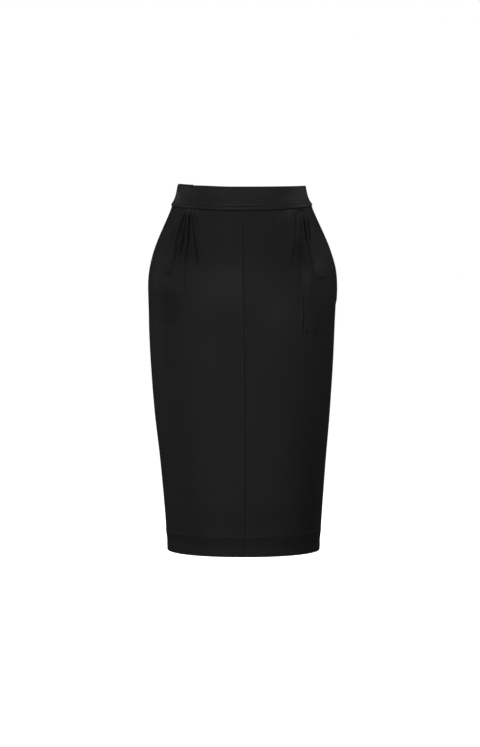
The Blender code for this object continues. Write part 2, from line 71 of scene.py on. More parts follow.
formNames = [*form, *squareness]
formRows = np.array([[value * mm for value in values] for values in form.values()] + [*squareness.values()]).T
formLevels = formRows[:, 0]
rowAbove = np.maximum(np.arange(len(formRows)) - 1, 0)
rowBelow = np.minimum(np.arange(len(formRows)) + 1, len(formRows) - 1)
formDrops = formLevels[rowBelow] - formLevels[rowAbove]
formSlopes = (formRows[rowBelow] - formRows[rowAbove]) / formDrops[:, None]


def smooth(share):
    share = np.clip(share, 0.0, 1.0)
    return share * share * (3 - 2 * share)


# rises from 0 at its start to 1 at the end of its reach
def ramp(value, start, reach):
    return smooth((value - start) / reach)


def bell(value, middle=0.0, width=1.0):
    away = (value - middle) / width
    return np.exp(-away * away)


def mix(low, high, share):
    return low + (high - low) * share


def signedPower(value, power):
    return np.sign(value) * np.abs(value) ** power


# the form's values at any height, on a smooth curve through its levels
def sectionAt(z):
    i = np.clip(np.searchsorted(-formLevels, -z, side="right") - 1, 0, len(formLevels) - 2)
    reach = (formLevels[i + 1] - formLevels[i])[..., None]
    t = (z[..., None] - formLevels[i][..., None]) / reach
    value = (2 * t**3 - 3 * t**2 + 1) * formRows[i] + (3 * t**2 - 2 * t**3) * formRows[i + 1]
    value += ((t**3 - 2 * t**2 + t) * formSlopes[i] + (t**3 - t**2) * formSlopes[i + 1]) * reach
    return {name: value[..., k] for k, name in enumerate(formNames)}


# a point on the outer form; turn is 0 at the centre front and a quarter turn at the wearer's left
def skin(turn, z):
    level = sectionAt(z)
    facing = np.cos(turn)
    depth = np.where(facing > 0, level["frontDepth"], level["backDepth"])
    power = np.where(facing > 0, level["frontPower"], level["backPower"])
    x = level["centre"] + level["halfWidth"] * signedPower(np.sin(turn), 2 / power)
    return np.stack([x, -depth * signedPower(facing, 2 / power), z], axis=-1)


def outward(turn, z):
    across = skin(turn + smallTurn, z) - skin(turn - smallTurn, z)
    down = skin(turn, z - smallRise) - skin(turn, z + smallRise)
    normal = np.cross(down, across)
    return normal / np.linalg.norm(normal, axis=-1, keepdims=True)


def place(turn, z, offset):
    return skin(turn, z) + outward(turn, z) * np.asarray(offset)[..., None]


def metresPerTurn(turn, z):
    step = skin(turn + smallTurn, z) - skin(turn - smallTurn, z)
    return np.linalg.norm(step, axis=-1) / (2 * smallTurn)


# how much turn a width takes up at a place on the form
def turnFor(width, turn, z):
    return width / metresPerTurn(np.full_like(z, turn), z)


# the turn of a point on the front that lies so far across from the middle
def turnAt(across, z):
    level = sectionAt(z)
    share = np.clip(across / level["halfWidth"], 0.0, 1.0)
    return np.arcsin(share ** (level["frontPower"] / 2))


def centreFrontTurn(z):
    level = sectionAt(z)
    off = level["frontSeam"] - level["centre"]
    return np.sign(off) * turnAt(np.abs(off), z)


def dipped(turn, sideZ, dips):
    facing = np.cos(turn)
    return sideZ - np.where(facing > 0, dips[0], dips[1]) * np.abs(facing) ** cut["dipPower"]


def topEdge(turn):
    return dipped(turn, cut["topZ"], cut["topDip"])


def waistSeam(turn):
    return dipped(turn, cut["seamZ"], cut["seamDip"])


def panelHeight(turn, down):
    return mix(waistSeam(turn) - cut["joinHalf"], cut["hemZ"], down / cut["length"])


def levelAt(down):
    return mix(cut["seamZ"], cut["hemZ"], down / cut["length"])


# stations along a length from 0, given as the end and the step of each stretch
def stations(stretches):
    starts = [0.0] + [end for end, _ in stretches]
    runs = [np.arange(start, end - step / 2, step) for start, (end, step) in zip(starts, stretches)]
    return np.concatenate(runs + [starts[-1:]])


# how far a surface falls away in the last stretch before a turned edge
def rollIn(away, reach, depth):
    near = 1 - np.clip(away / reach, 0.0, 1.0)
    return -depth * (1 - np.sqrt(1 - near * near))


# slow unevenness made of a few waves, up to a height and about a size across
def drift(u, v, seed, height, size, waves=7):
    rng = np.random.default_rng(seed)
    total = np.zeros(np.broadcast(u, v).shape)
    for turnsU, turnsV, shift, share in rng.uniform((-1, -1, 0, 0.4), (1, 1, 2 * math.pi, 1), (waves, 4)):
        total += share * np.sin((turnsU * u + turnsV * v) * 2 * math.pi / size + shift)
    return height * total / waves


# a table's rows with their first values turned from millimetres to metres
def inMetres(rows, lengths):
    return [[value * mm for value in row[:lengths]] + list(row[lengths:]) for row in rows]


# the last value of each row, with how much the row counts at every point round its place across and down
def patches(rows, lengths, away, down):
    for across, at, halfWidth, halfLength, amount in inMetres(rows, lengths):
        yield amount, bell(away(across), 0, halfWidth) * bell(down, at, halfLength)


def addObject(name, data):
    added = bpy.data.objects.new(name, data)
    bpy.context.scene.collection.objects.link(added)
    return added


def wear(piece, material):
    piece.data.materials.clear()
    piece.data.materials.append(material)


# a closed wall whose outer face stands off the form by its relief, with its thickness inwards; the piece
# comes back with the points of its two faces and the ways they face
def makeShell(name, turn, z, relief, thickness, material, paintedLight=1.0, flat=None):
    base, normal = skin(turn, z), outward(turn, z)
    outer = base + normal * relief[..., None]
    inner = base + normal * (relief - thickness)[..., None]
    flat = flatCut(base) if flat is None else flat
    rows, columns = outer.shape[:2]
    count = rows * columns
    index = np.arange(count).reshape(rows, columns)
    face = np.stack([index[:-1, :-1], index[1:, :-1], index[1:, 1:], index[:-1, 1:]], axis=-1).reshape(-1, 4)
    rim = np.concatenate([index[0, :], index[1:, -1], index[-1, -2::-1], index[-2:0:-1, 0]])
    rimNext = np.roll(rim, -1)
    wall = np.stack([rim, rimNext, rimNext + count, rim + count], axis=-1)
    faces = np.concatenate([face, face[:, ::-1] + count, wall])
    r, c = rows // 2, columns // 2
    facing = np.cross(outer[r + 1, c] - outer[r, c], outer[r, c + 1] - outer[r, c])
    if np.dot(facing, outer[r, c] - inner[r, c]) < 0:
        faces = faces[:, ::-1]
    points = np.concatenate([outer.reshape(-1, 3), inner.reshape(-1, 3)])
    data = bpy.data.meshes.new(name)
    data.from_pydata(points.tolist(), [], faces.tolist())
    cornersFlat = np.tile(flat.reshape(-1, 2), (2, 1))[faces.ravel()].astype(np.float32)
    data.uv_layers.new(name="flatCut").data.foreach_set("uv", cornersFlat.ravel())
    # each point's painted shade and painted highlights, which the cloth's colour is multiplied by
    tones = np.tile(np.broadcast_to(paintedLight, (rows, columns)).ravel(), 2).astype(np.float32)
    data.attributes.new("paintedLight", "FLOAT", "POINT").data.foreach_set("value", tones)
    data.shade_smooth()
    # the rim's edges are sharp, apart from the short ones across the wall
    onRim = np.zeros(2 * count, bool)
    onRim[np.concatenate([rim, rim + count])] = True
    ends = np.zeros(2 * len(data.edges), np.int32)
    data.edges.foreach_get("vertices", ends)
    ends = ends.reshape(-1, 2)
    sharp = onRim[ends].all(axis=1) & ((ends < count).sum(axis=1) != 1)
    data.attributes.new("sharp_edge", "BOOLEAN", "EDGE").data.foreach_set("value", sharp)
    data.materials.append(material)
    return addObject(name, data), outer, inner, normal


# metres across and down a lattice, as its cut lies flat
def flatCut(points):
    across = np.linalg.norm(np.diff(points, axis=1, prepend=points[:, :1]), axis=-1)
    down = np.linalg.norm(np.diff(points, axis=0, prepend=points[:1]), axis=-1)
    return np.stack([np.cumsum(across, axis=1), -np.cumsum(down, axis=0)], axis=-1)


# makes a piece, or a set of them, for each side of the skirt
def makePair(make, what):
    for side, word in ((1, "left"), (-1, "right")):
        make(side, word)
    print(what, "made")


# puts a finished cloth piece on its body in its node's place
def settle(piece, node, flat, area):
    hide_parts(node)
    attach(piece, "skirt")


# sets several properties of a thing at once
def adjust(thing, **settings):
    for name, value in settings.items():
        setattr(thing, name, value)
    return thing


def grey(level):
    return (level, level, level, 1.0)


# sets a node's inputs to values, or links them from sockets
def connect(tree, node, inputs):
    for name, value in inputs.items():
        if isinstance(value, bpy.types.NodeSocket):
            tree.links.new(value, node.inputs[name])
        else:
            node.inputs[name].default_value = value


def addNode(tree, kind, inputs, **settings):
    node = adjust(tree.nodes.new("ShaderNode" + kind), **settings)
    connect(tree, node, inputs)
    return node.outputs


def addMath(tree, operation, *values):
    return addNode(tree, "Math", dict(enumerate(values)), operation=operation)[0]


def mixColours(tree, blend, factor, first, second):
    inputs = {"Factor": factor, "A": first, "B": second}
    return addNode(tree, "Mix", inputs, data_type="RGBA", blend_type=blend)["Result"]


def spread(tree, value, low, high):
    return addNode(tree, "MapRange", {"Value": value, "To Min": low, "To Max": high})[0]


def addNoise(tree, vector, scale, detail):
    return addNode(tree, "TexNoise", {"Vector": vector, "Scale": scale, "Detail": detail})[0]


def addBump(tree, height, strength, distance):
    return addNode(tree, "Bump", {"Height": height, "Strength": strength, "Distance": distance})[0]


def newMaterial(name):
    material = bpy.data.materials.new(name)
    material.use_nodes = True
    return material, material.node_tree, material.node_tree.nodes["Principled BSDF"]


def newGroup(name, inputs, outputs):
    group = bpy.data.node_groups.new(name, "ShaderNodeTree")
    for label, kind, value in inputs:
        socket = group.interface.new_socket(name=label, in_out="INPUT", socket_type="NodeSocket" + kind)
        socket.default_value = value
    for label in outputs:
        group.interface.new_socket(name=label, in_out="OUTPUT", socket_type="NodeSocketFloat")
    return group, group.nodes.new("NodeGroupInput").outputs, group.nodes.new("NodeGroupOutput")


weave = dict(slubScale=260.0, slubDetail=2.0, cloudDetail=3.0, weft=0.35, relief=0.12, slubShade=0.1,
             bump=0.35)


# yarns crossing over and under, on metres read from a UV map, with slubs in the yarn
def makeWeaveGroup():
    group, ins, outs = newGroup(
        "weave",
        [("UV", "Vector", (0, 0, 0)), ("Yarn Pitch", "Float", 0.0006), ("Twill Lean", "Float", 0.5),
         ("Slub", "Float", 0.3), ("Cloud Size", "Float", 12.0)],
        ["Height", "Shade", "Cloud"],
    )

    def times(first, second):
        return addMath(group, "MULTIPLY", first, second)

    def plus(first, second):
        return addMath(group, "ADD", first, second)

    split = addNode(group, "SeparateXYZ", {0: ins["UV"]})
    u = addMath(group, "DIVIDE", split["X"], ins["Yarn Pitch"])
    v = addMath(group, "DIVIDE", split["Y"], ins["Yarn Pitch"])
    slub = addNoise(group, ins["UV"], weave["slubScale"], weave["slubDetail"])
    rib = plus(plus(u, times(v, ins["Twill Lean"])), times(slub, ins["Slub"]))
    ribWave = addMath(group, "SINE", times(rib, 2 * math.pi))
    weftWave = addMath(group, "SINE", times(v, 2 * math.pi))
    height = plus(ribWave, times(weftWave, weave["weft"]))
    # painted shade where the yarns sink and painted highlights where they rise, varied at random by the slubs
    shade = plus(plus(times(height, weave["relief"]), 1.0), times(slub, weave["slubShade"]))
    cloud = addNoise(group, ins["UV"], ins["Cloud Size"], weave["cloudDetail"])
    connect(group, outs, {"Height": height, "Shade": shade, "Cloud": cloud})
    return group


weaveGroup = makeWeaveGroup()
clothFinish = dict(
    panel=dict(colour=0.0150, pitch=0.00058, lean=0.5, slub=0.35, rough=(0.48, 0.58), lift=0.00005,
               specular=0.08, sheen=0.0, sheenRough=0.45),
    band=dict(colour=0.0120, pitch=0.00058, lean=0.5, slub=0.35, rough=(0.40, 0.50), lift=0.00005,
              specular=0.14, sheen=0.02, sheenRough=0.25),
    bag=dict(colour=0.0140, pitch=0.00042, lean=0.0, slub=0.50, rough=(0.72, 0.84), lift=0.00004,
             specular=0.20, sheen=0.05, sheenRough=0.5),
    tape=dict(colour=0.0120, pitch=0.00075, lean=0.0, slub=0.10, rough=(0.75, 0.85), lift=0.00008,
              specular=0.20, sheen=0.05, sheenRough=0.5),
)


def makeCloth(name, finish):
    material, tree, shader = newMaterial(name)
    flat = addNode(tree, "UVMap", {}, uv_map="flatCut")[0]
    yarn = {"UV": flat, "Yarn Pitch": finish["pitch"], "Twill Lean": finish["lean"], "Slub": finish["slub"]}
    woven = addNode(tree, "Group", yarn, node_tree=weaveGroup)
    # the weave's painted shade and painted highlights darken and lighten the colour
    tint = mixColours(tree, "MULTIPLY", 1.0, grey(finish["colour"]), woven["Shade"])
    # the colour is also multiplied by each point's painted shade and painted highlights
    paintedLight = addNode(tree, "Attribute", {}, attribute_name="paintedLight")["Fac"]
    connect(tree, shader, {
        "Base Color": mixColours(tree, "MULTIPLY", 1.0, tint, paintedLight),
        "Roughness": spread(tree, woven["Cloud"], *finish["rough"]),
        "Normal": addBump(tree, woven["Height"], weave["bump"], finish["lift"]),
        "Specular IOR Level": finish["specular"],
        "Sheen Weight": finish["sheen"],
        "Sheen Roughness": finish["sheenRough"],
    })
    return material


panelCloth = makeCloth("blackSuiting", clothFinish["panel"])
bandCloth = makeCloth("pressedSuiting", clothFinish["band"])
bagCloth = makeCloth("pocketingCloth", clothFinish["bag"])
tapeCloth = makeCloth("zipTapeWeave", clothFinish["tape"])
thread = dict(colour=0.020, dark=0.6, light=1.3, scale=900.0, wander=1.5, twist=0.5, lift=0.00005,
              rough=0.5, specular=0.25)


# sewing thread: its twist shows as slanting ribs along each stitch
def makeThread(name):
    material, tree, shader = newMaterial(name)
    spot = addNode(tree, "TexCoord", {})["Object"]
    ribs = {"Vector": spot, "Scale": thread["scale"], "Distortion": thread["wander"]}
    twist = addNode(tree, "TexWave", ribs, bands_direction="DIAGONAL")["Fac"]
    # painted highlights on the twist's ribs and painted shade between them
    dark, light = (grey(thread["colour"] * thread[share]) for share in ("dark", "light"))
    connect(tree, shader, {
        "Base Color": mixColours(tree, "MIX", twist, dark, light),
        "Normal": addBump(tree, twist, thread["twist"], thread["lift"]),
        "Roughness": thread["rough"],
        "Specular IOR Level": thread["specular"],
    })
    return material


blackThread = makeThread("blackThread")
scuffs = dict(scale=900.0, detail=4.0, worn=(2.2, 2.2, 2.1))


def makeMetal(name, colour, rough, metallic):
    material, tree, shader = newMaterial(name)
    spot = addNode(tree, "TexCoord", {})["Object"]
    scuff = addNoise(tree, spot, scuffs["scale"], scuffs["detail"])
    worn = tuple(colour * share for share in scuffs["worn"]) + (1.0,)
    connect(tree, shader, {
        "Base Color": mixColours(tree, "MIX", scuff, grey(colour), worn),
        "Roughness": spread(tree, scuff, *rough),
        "Metallic": metallic,
    })
    return material


blackEnamel = makeMetal("blackEnamel", colour=0.017, rough=(0.25, 0.42), metallic=0.30)
blackNylon = makeMetal("blackNylon", colour=0.014, rough=(0.38, 0.50), metallic=0.0)
print("finishes made")

# the turned hem in metres: pairs are how high and how far, or how far and how deep
hem = dict(ridge=(0.0005, 0.0032), waver=0.4, waves=60, ease=0.004, curl=(0.0013, 0.0012),
           tuck=0.0007, tuckUp=0.019, tuckWidth=0.009, lift=0.0002, stitchesUp=0.001)
hemLines = []


def hemRelief(down, across):
    height, width = hem["ridge"]
    ridge = height * bell(down, hemTop, width) * (1 + hem["waver"] * np.sin(across * hem["waves"]))
    tuck = hem["tuck"] * bell(down, cut["length"] - hem["tuckUp"], hem["tuckWidth"])
    turned = (hem["lift"] - tuck) * ramp(down, hemTop, hem["ease"])
    return ridge + turned + rollIn(cut["length"] - down, *hem["curl"])


# painted shade in hollows and where the cloth goes into the waist seam, and painted highlights on ridges
def reliefTone(relief, down, hollow, ridge, seam):
    paintedLight = 1 - hollow[0] * smooth(-relief / hollow[1]) + ridge[0] * smooth(relief / ridge[1])
    return paintedLight * (1 - seam[0] * (1 - smooth(down / seam[1])))


# a panel's wall is thickest where it is turned and double at its seams; its hem line is kept for the stitches
def makePanel(name, turn, z, down, relief, turned, seamed, paintedLight):
    wall = np.select([turned | (down > hemTop), seamed], [cut["turned"], 2 * cut["cloth"]], cut["cloth"])
    piece, _, under, normal = makeShell(name, turn, z, relief, wall, panelCloth, paintedLight)
    row = int(np.argmin(np.abs(down[:, 0] - hemTop + hem["stitchesUp"])))
    hemLines.append((under[row], -normal[row]))
    return piece


# lengths are in metres, but in creases, swells, ledges, tones, gathers and drags they are in millimetres
frontPanel = dict(
    flat=(0.255, 0.655), area=0.150,
    rows=[(0.0012, 0.0003), (0.006, 0.0006), (0.030, 0.0010), (0.160, 0.0017), (0.250, 0.0025),
          (0.560, 0.0056), (0.600, 0.0013), (0.6125, 0.0010), (0.6155, 0.0003)],
    columns=[(0.004, 0.001), (0.016, 0.002), (0.226, 0.0105), (0.760, 0.0050), (0.984, 0.0112),
             (0.996, 0.002), (1.0, 0.001)],
    # creases: depth, half width, height of the ridges towards the side and the centre, the share of the
    # length at full depth and the share of the depth after it, and the route as places down and across
    creases={
        -1: dict(
            outer=(5.8, 1.9, 0.3, 0, 0.46, 0.42,
                   [(3, 99), (10, 102), (15, 104.5), (25, 108.6), (37, 111.7), (50, 114.1), (95, 123),
                    (120, 126.2)]),
            second=(2.8, 1.8, 0.1, 0.1, 0.35, 1.4,
                    [(3, 95), (13, 98.5), (50, 107), (66, 109.2), (86, 110)]),
            third=(4.3, 1.8, 0.15, 0.15, 0.44, 0.48,
                   [(4, 92), (20, 93.7), (52, 95.7), (83, 99.5), (100, 100.5)]),
            tail=(1.4, 1.5, 0.1, 0.1, 0.6, 0.6,
                  [(60, 96.5), (83, 99.5), (115, 101.2), (140, 101.8), (160, 102)]),
            inner=(3, 1.8, 0, 0.45, 0.8, 0.9, [(4, 89), (18.5, 87), (52, 83.5), (80, 79.2), (106, 74.8)]),
            faint=(1.2, 2, 0.2, 0.1, 0.4, 0.6, [(4, 82.5), (20, 80), (50, 74.5)]),
            bag=(1, 2, 0, 0.3, 0.6, 0.6, [(150, 107.5), (170, 108), (190, 108.2), (208, 107.5)]),
        ),
        1: dict(
            inner=(1.8, 1.4, 0.2, 0.2, 0.7, 0.7, [(1, 94.5), (29, 93.5), (60, 93), (76, 90.5), (104, 82)]),
            tick=(0.9, 1.2, 0.2, 0.6, 0.6, 0.6, [(8, 86.2), (22, 85.5), (36, 85.3)]),
            middle=(1.6, 1.4, 0.1, 0.5, 0.4, 0.7,
                    [(80, 100), (97, 101.5), (118, 102.8), (130, 102.2), (146, 99.5)]),
            outer=(4.2, 1.7, 0.4, 0.1, 0.28, 0.58,
                   [(10, 108), (26, 110.5), (61, 116), (93, 121.5), (116, 125.5), (134, 127.5)]),
            between=(1.3, 1.4, 0.1, 0.3, 0.6, 0.6, [(46, 108.6), (62, 107.8), (84, 107.2), (100, 106.8)]),
            beside=(2.6, 1.8, 0.15, 0.1, 0.5, 0.6, [(16, 115.8), (29, 117.5), (61, 119.7), (84, 120.5)]),
            faint=(1.6, 1.5, 0.1, 0.9, 0.5, 0.6, [(16, 103.5), (29, 103.5), (54, 103.5), (66, 104)]),
            bagTop=(1.2, 1.4, 0, 0.6, 0.5, 0.6, [(148, 106), (162, 108.5), (178, 109.8), (200, 109.3)]),
            bagFoot=(2.5, 1.8, 0, 0.2, 0.6, 0.6, [(182, 109.8), (200, 109.3), (215, 108.5), (230, 107.2)]),
        ),
    },
    creaseRise=0.10, creaseEase=0.25, creaseFade=0.72, creaseWiden=(0.85, 1.25),
    troughs=((0.6, 0.7), (0.4, 1.7)), ridgeAt=2.1, ridgeWidth=1.2,
    # the columns run along these creases, at these shares of the lattice
    followed={-1: dict(inner=0.34, third=0.46, outer=0.64), 1: dict(inner=0.34, outer=0.58)},
    # broad hollows and swells: across, down, half width, half length, height
    swells={
        -1: [(106, 58, 17, 34, -4.6), (40, 48, 40, 30, -0.7), (30, 125, 45, 36, 0.8),
             (108.5, 93, 3.5, 4, -1.2), (120, 300, 26, 30, -0.6), (60, 470, 40, 50, -0.4)],
        1: [(104, 68, 12, 26, -4), (45, 56, 40, 30, -0.8), (45, 152, 30, 22, 0.7), (133, 100, 13, 12, 1.2),
            (110, 118, 6, 12, 1), (103, 80, 8, 12, -1.6), (110, 420, 30, 60, -0.6), (50, 330, 40, 50, 0.4)],
    },
    # puffs that end in a small ledge: across, down to the ledge, half width, length above it, height
    ledges={
        -1: [(130, 116.5, 6, 16, 1.2)],
        1: [(137, 122, 14, 30, 1), (112, 216, 4, 10, 0.8), (130, 215, 6.5, 12, 0.9)],
    },
    ledgeDrop=0.0045, ledgeTone=0.12,
    # painted shade and painted highlights on the cloth: across, down, half width, half length, share
    tones={
        -1: [(103, 56, 16, 28, -0.28), (122, 46, 9, 18, -0.14), (92.5, 74, 9, 14, -0.14),
             (102, 39, 10, 15, -0.28), (116.5, 41, 6, 10, -0.24), (109.5, 36, 3.5, 16, -0.3),
             (90, 73, 6, 12, -0.22), (75, 92.5, 2.4, 10, 0.22), (70, 84, 24, 26, -0.14),
             (132, 115, 8, 3.5, -0.22), (108, 94, 4, 4, -0.12), (69, 3.5, 8, 2.5, 0.2),
             (93.6, 3.2, 2.2, 3.5, 1.4), (86.1, 3.2, 2, 3.5, 1.3), (79, 3.5, 3.2, 4.5, 0.8),
             (14, 135, 62, 38, 0.34), (20, 120, 32, 26, 0.14), (148, 158, 24, 24, -0.2),
             (0, 600, 110, 60, -0.1), (40, 545, 60, 16, -0.14), (58, 590, 34, 11, -0.14),
             (52, 606, 26, 5, 0.24), (92, 0.6, 9.5, 2, 0.7), (94.7, 30, 2.2, 11, 0.18),
             (154, 184, 14, 18, -0.14)],
        1: [(68, 100, 24, 18, -0.1), (104, 70, 10, 20, -0.26), (90, 88, 9, 12, -0.14),
            (97.5, 72, 12, 14, -0.14), (134, 40, 14, 13, -0.2), (60, 66, 36, 30, -0.14),
            (78, 8.5, 9.5, 5.5, 0.75), (85, 3, 7, 4.5, 0.75), (66.5, 16.5, 4.5, 4.5, 0.45),
            (62.5, 20.5, 3, 3, 0.25), (82.5, 19, 1.3, 11, 0.45), (88.5, 20, 2.4, 11, 0.3),
            (114.5, 3, 2.2, 4.5, 0.6), (99, 22, 1, 12, 0.25), (133, 100, 14, 16, 0.38),
            (112.5, 120, 8, 12, 0.32), (143, 131, 24, 10, 0.2), (108, 195, 12, 30, 0.2),
            (0, 138, 52, 38, 0.23), (52, 180, 24, 20, 0.14), (70, 180, 30, 40, 0.22),
            (140, 153, 26, 20, 0.22), (122, 520, 34, 130, -0.2), (0, 600, 100, 60, -0.1),
            (42, 545, 70, 16, -0.12), (90, 588, 30, 12, -0.1), (30, 606, 60, 5, 0.1),
            (112, 216, 3.5, 4, -0.18), (131, 215, 6, 4, -0.14), (112.8, 186, 3.6, 34, -0.18),
            (125, 188, 8, 30, 0.06), (106.5, 125, 5, 13, 0.1)],
    },
    shading=dict(hollow=(0.38, 0.0040), ridge=(0.16, 0.0016), seam=(0.55, 0.0010)), hemTone=0.07,
    # gathers caught in the waist seam: across, length, half width, height
    gathers={
        -1: [(96.5, 14, 1.4, 1.6), (91.8, 12, 1.1, -2.2), (89, 10, 1, 1.4), (86, 13, 1.1, -2),
             (82.5, 16, 1.3, 1.6), (78, 10, 1.2, 0.8)],
        1: [(80, 14, 3.5, 1.3), (89.5, 16, 2.4, 1.8), (98.5, 12, 1.4, 1.2), (102, 10, 1, -2.2),
            (104.5, 10, 1, 1), (107, 10, 1, -2.2), (112, 10, 1.3, 1)],
    },
    gatherRise=0.0012,
    # a soft ridge dragged away from the tucks: height, half width, route
    drags={-1: [], 1: [(1.8, 3.6, [(1, 89), (10, 76), (22, 60)])]}, dragRise=0.2,
    # pocket bag showing through: inner edge across, where it swells, its fullest and its foot, height
    # along its middle and at the side seam
    bags={-1: (0.1090, 0.095, 0.138, 0.203, 0.0034, 0.0006),
          1: (0.1125, 0.080, 0.120, 0.228, 0.0034, 0.0008)},
    bagEdge=0.0120, bagFlatten=(0.020, 0.040), bagLedge=0.0003, bagLedgeReach=0.010,
    # painted shade over the lower part of the pocket bag: how strong on each side, and how it fades at its
    # edge, top, foot and side
    bagTone={-1: 0.17, 1: 0.00}, bagToneEdge=0.0030, bagToneTop=0.012, bagToneFoot=(-0.005, 0.006),
    bagToneSide=0.014,
    # the pocket's mouth opens a little at the side seam: its top, widest place and foot
    mouth=(0.027, 0.165, 0.178), mouthReach=0.020, mouthLift={-1: 0.0000, 1: 0.0016},
    # the pressed centre seam with a painted highlight on the right and painted shade on the left: how strong
    # and wide each line is, and how far from the seam it lies high up and low down
    pressed=(0.012, 0.030), seamChange=(0.19, 0.12), seamRidge=(0.0010, 0.0025, (0.0008, -0.0009)),
    seamTone={-1: (0.16, 0.0011, (0.0010, 0.0022)), 1: (-0.28, 0.0013, (0.0026, 0.0011))},
    # turned edges: how far in they begin and how deep they go, and at the centre above and along the slit
    waistRoll=(0.0014, 0.0017), sideRoll=(0.0010, 0.0010), centreRoll=((0.0005, 0.0009), (0.0002, 0.0011)),
    slitEase=0.004, unevenness=(0.00025, 0.11), seed=11,
    # seam allowances: how wide, and how far below the waist seam they start
    centreAllowance=(0.015, 0.002), sideAllowance=(0.014, 0.245),
)


# how far across a route runs at each place down
def routeAcross(route, down):
    stops, offsets = np.array(route).T * mm
    return np.interp(down, stops, offsets), (down - stops[0]) / (stops[-1] - stops[0])


def frontLattice(side):
    p = frontPanel
    down = stations(p["rows"])[:, None]
    column = stations(p["columns"])[None, :]
    level = levelAt(down)
    inner = side * centreFrontTurn(level) + turnFor(cut["joinHalf"], 0.0, level)
    outer = quarter - turnFor(cut["joinHalf"], quarter - 2 * smallTurn, level)
    followed = p["followed"][side]
    routes = [p["creases"][side][name][-1] for name in followed]
    guides = [inner] + [turnAt(routeAcross(route, down)[0], level) for route in routes] + [outer]
    stops = [0.0, *followed.values(), 1.0]
    turn = inner + np.zeros_like(column)
    for k in range(len(guides) - 1):
        share = np.clip((column - stops[k]) / (stops[k + 1] - stops[k]), 0, 1)
        turn = turn + share * (guides[k + 1] - guides[k])
    turn = side * turn
    down = np.broadcast_to(down, turn.shape)
    return turn, panelHeight(turn, down), down, inner, outer


# away measures how far a point lies towards the side from a line across
def creaseRelief(away, down, depth, halfWidth, sideRidge, centreRidge, hold, rest, route):
    p = frontPanel
    across, along = routeAcross(route, down)
    strength = smooth(along / p["creaseRise"]) * mix(1, rest, ramp(along, hold, p["creaseEase"]))
    strength *= 1 - ramp(along, p["creaseFade"], 1 - p["creaseFade"])
    aside = away(across) / (halfWidth * mix(*p["creaseWiden"], np.clip(along, 0, 1)))
    trough = sum(share * bell(aside, 0, width) for share, width in p["troughs"])
    ridges = sideRidge * bell(aside, p["ridgeAt"], p["ridgeWidth"])
    ridges += centreRidge * bell(aside, -p["ridgeAt"], p["ridgeWidth"])
    return depth * strength * (ridges - trough)


# how high the pocket bag lifts the cloth, and how its lower part shades it
def bagRelief(side, fromEdge, toSide, down):
    p = frontPanel
    _, swell, fullest, foot, height, atSide = p["bags"][side]
    height = mix(height, atSide, ramp(fromEdge, *p["bagFlatten"]))
    full = height * ramp(down, swell, fullest - swell)
    full -= (height + p["bagLedge"]) * np.clip((down - fullest) / (foot - fullest), 0, 1)
    full += p["bagLedge"] * ramp(down, foot, p["bagLedgeReach"])
    # painted shade over the bag below its fullest place
    shaded = smooth(0.5 + fromEdge / p["bagToneEdge"]) * ramp(down, fullest, p["bagToneTop"])
    shaded *= (1 - ramp(down - foot, *p["bagToneFoot"])) * smooth(toSide / p["bagToneSide"])
    return smooth(0.5 + fromEdge / p["bagEdge"]) * full, 1 - p["bagTone"][side] * shaded


def frontRelief(side, turn, z, down, speed):
    p = frontPanel
    dropped = p["ledgeDrop"]

    def away(across):
        return (np.abs(turn) - turnAt(across, z)) * speed

    relief = sum(creaseRelief(away, down, *crease) for crease in inMetres(p["creases"][side].values(), 2))
    # painted shade in the creases, painted highlights on their ridges, then the listed spots of painted
    # highlight and shade
    paintedLight = reliefTone(relief, down, **p["shading"])
    for share, here in patches(p["tones"][side], 4, away, down):
        paintedLight *= 1 + share * here
    for height, here in patches(p["swells"][side], 5, away, down):
        relief += height * here
    for across, at, halfWidth, length, height in inMetres(p["ledges"][side], 5):
        aside = bell(away(across), 0, halfWidth)
        relief += height * aside * ramp(down, at - length, length) * (1 - ramp(down, at, dropped))
        # painted shade just below the ledge
        paintedLight *= 1 - p["ledgeTone"] * aside * bell(down, at + dropped / 2, dropped)
    for across, length, halfWidth, height in inMetres(p["gathers"][side], 4):
        caught = smooth(down / p["gatherRise"]) * (1 - smooth(down / length))
        relief += height * bell(away(across), 0, halfWidth) * caught
    for height, halfWidth, route in inMetres(p["drags"][side], 2):
        across, along = routeAcross(route, down)
        pulled = smooth(along / p["dragRise"]) * (1 - smooth(along))
        relief += height * bell(away(across), 0, halfWidth) * pulled
    toSide = (quarter - np.abs(turn)) * speed
    lift, shade = bagRelief(side, away(p["bags"][side][0]), toSide, down)
    top, widest, foot = p["mouth"]
    opening = smooth(np.minimum((down - top) / (widest - top), (foot - down) / (foot - widest)))
    lift += p["mouthLift"][side] * smooth(1 - toSide / p["mouthReach"]) * opening
    return relief + lift, paintedLight * shade


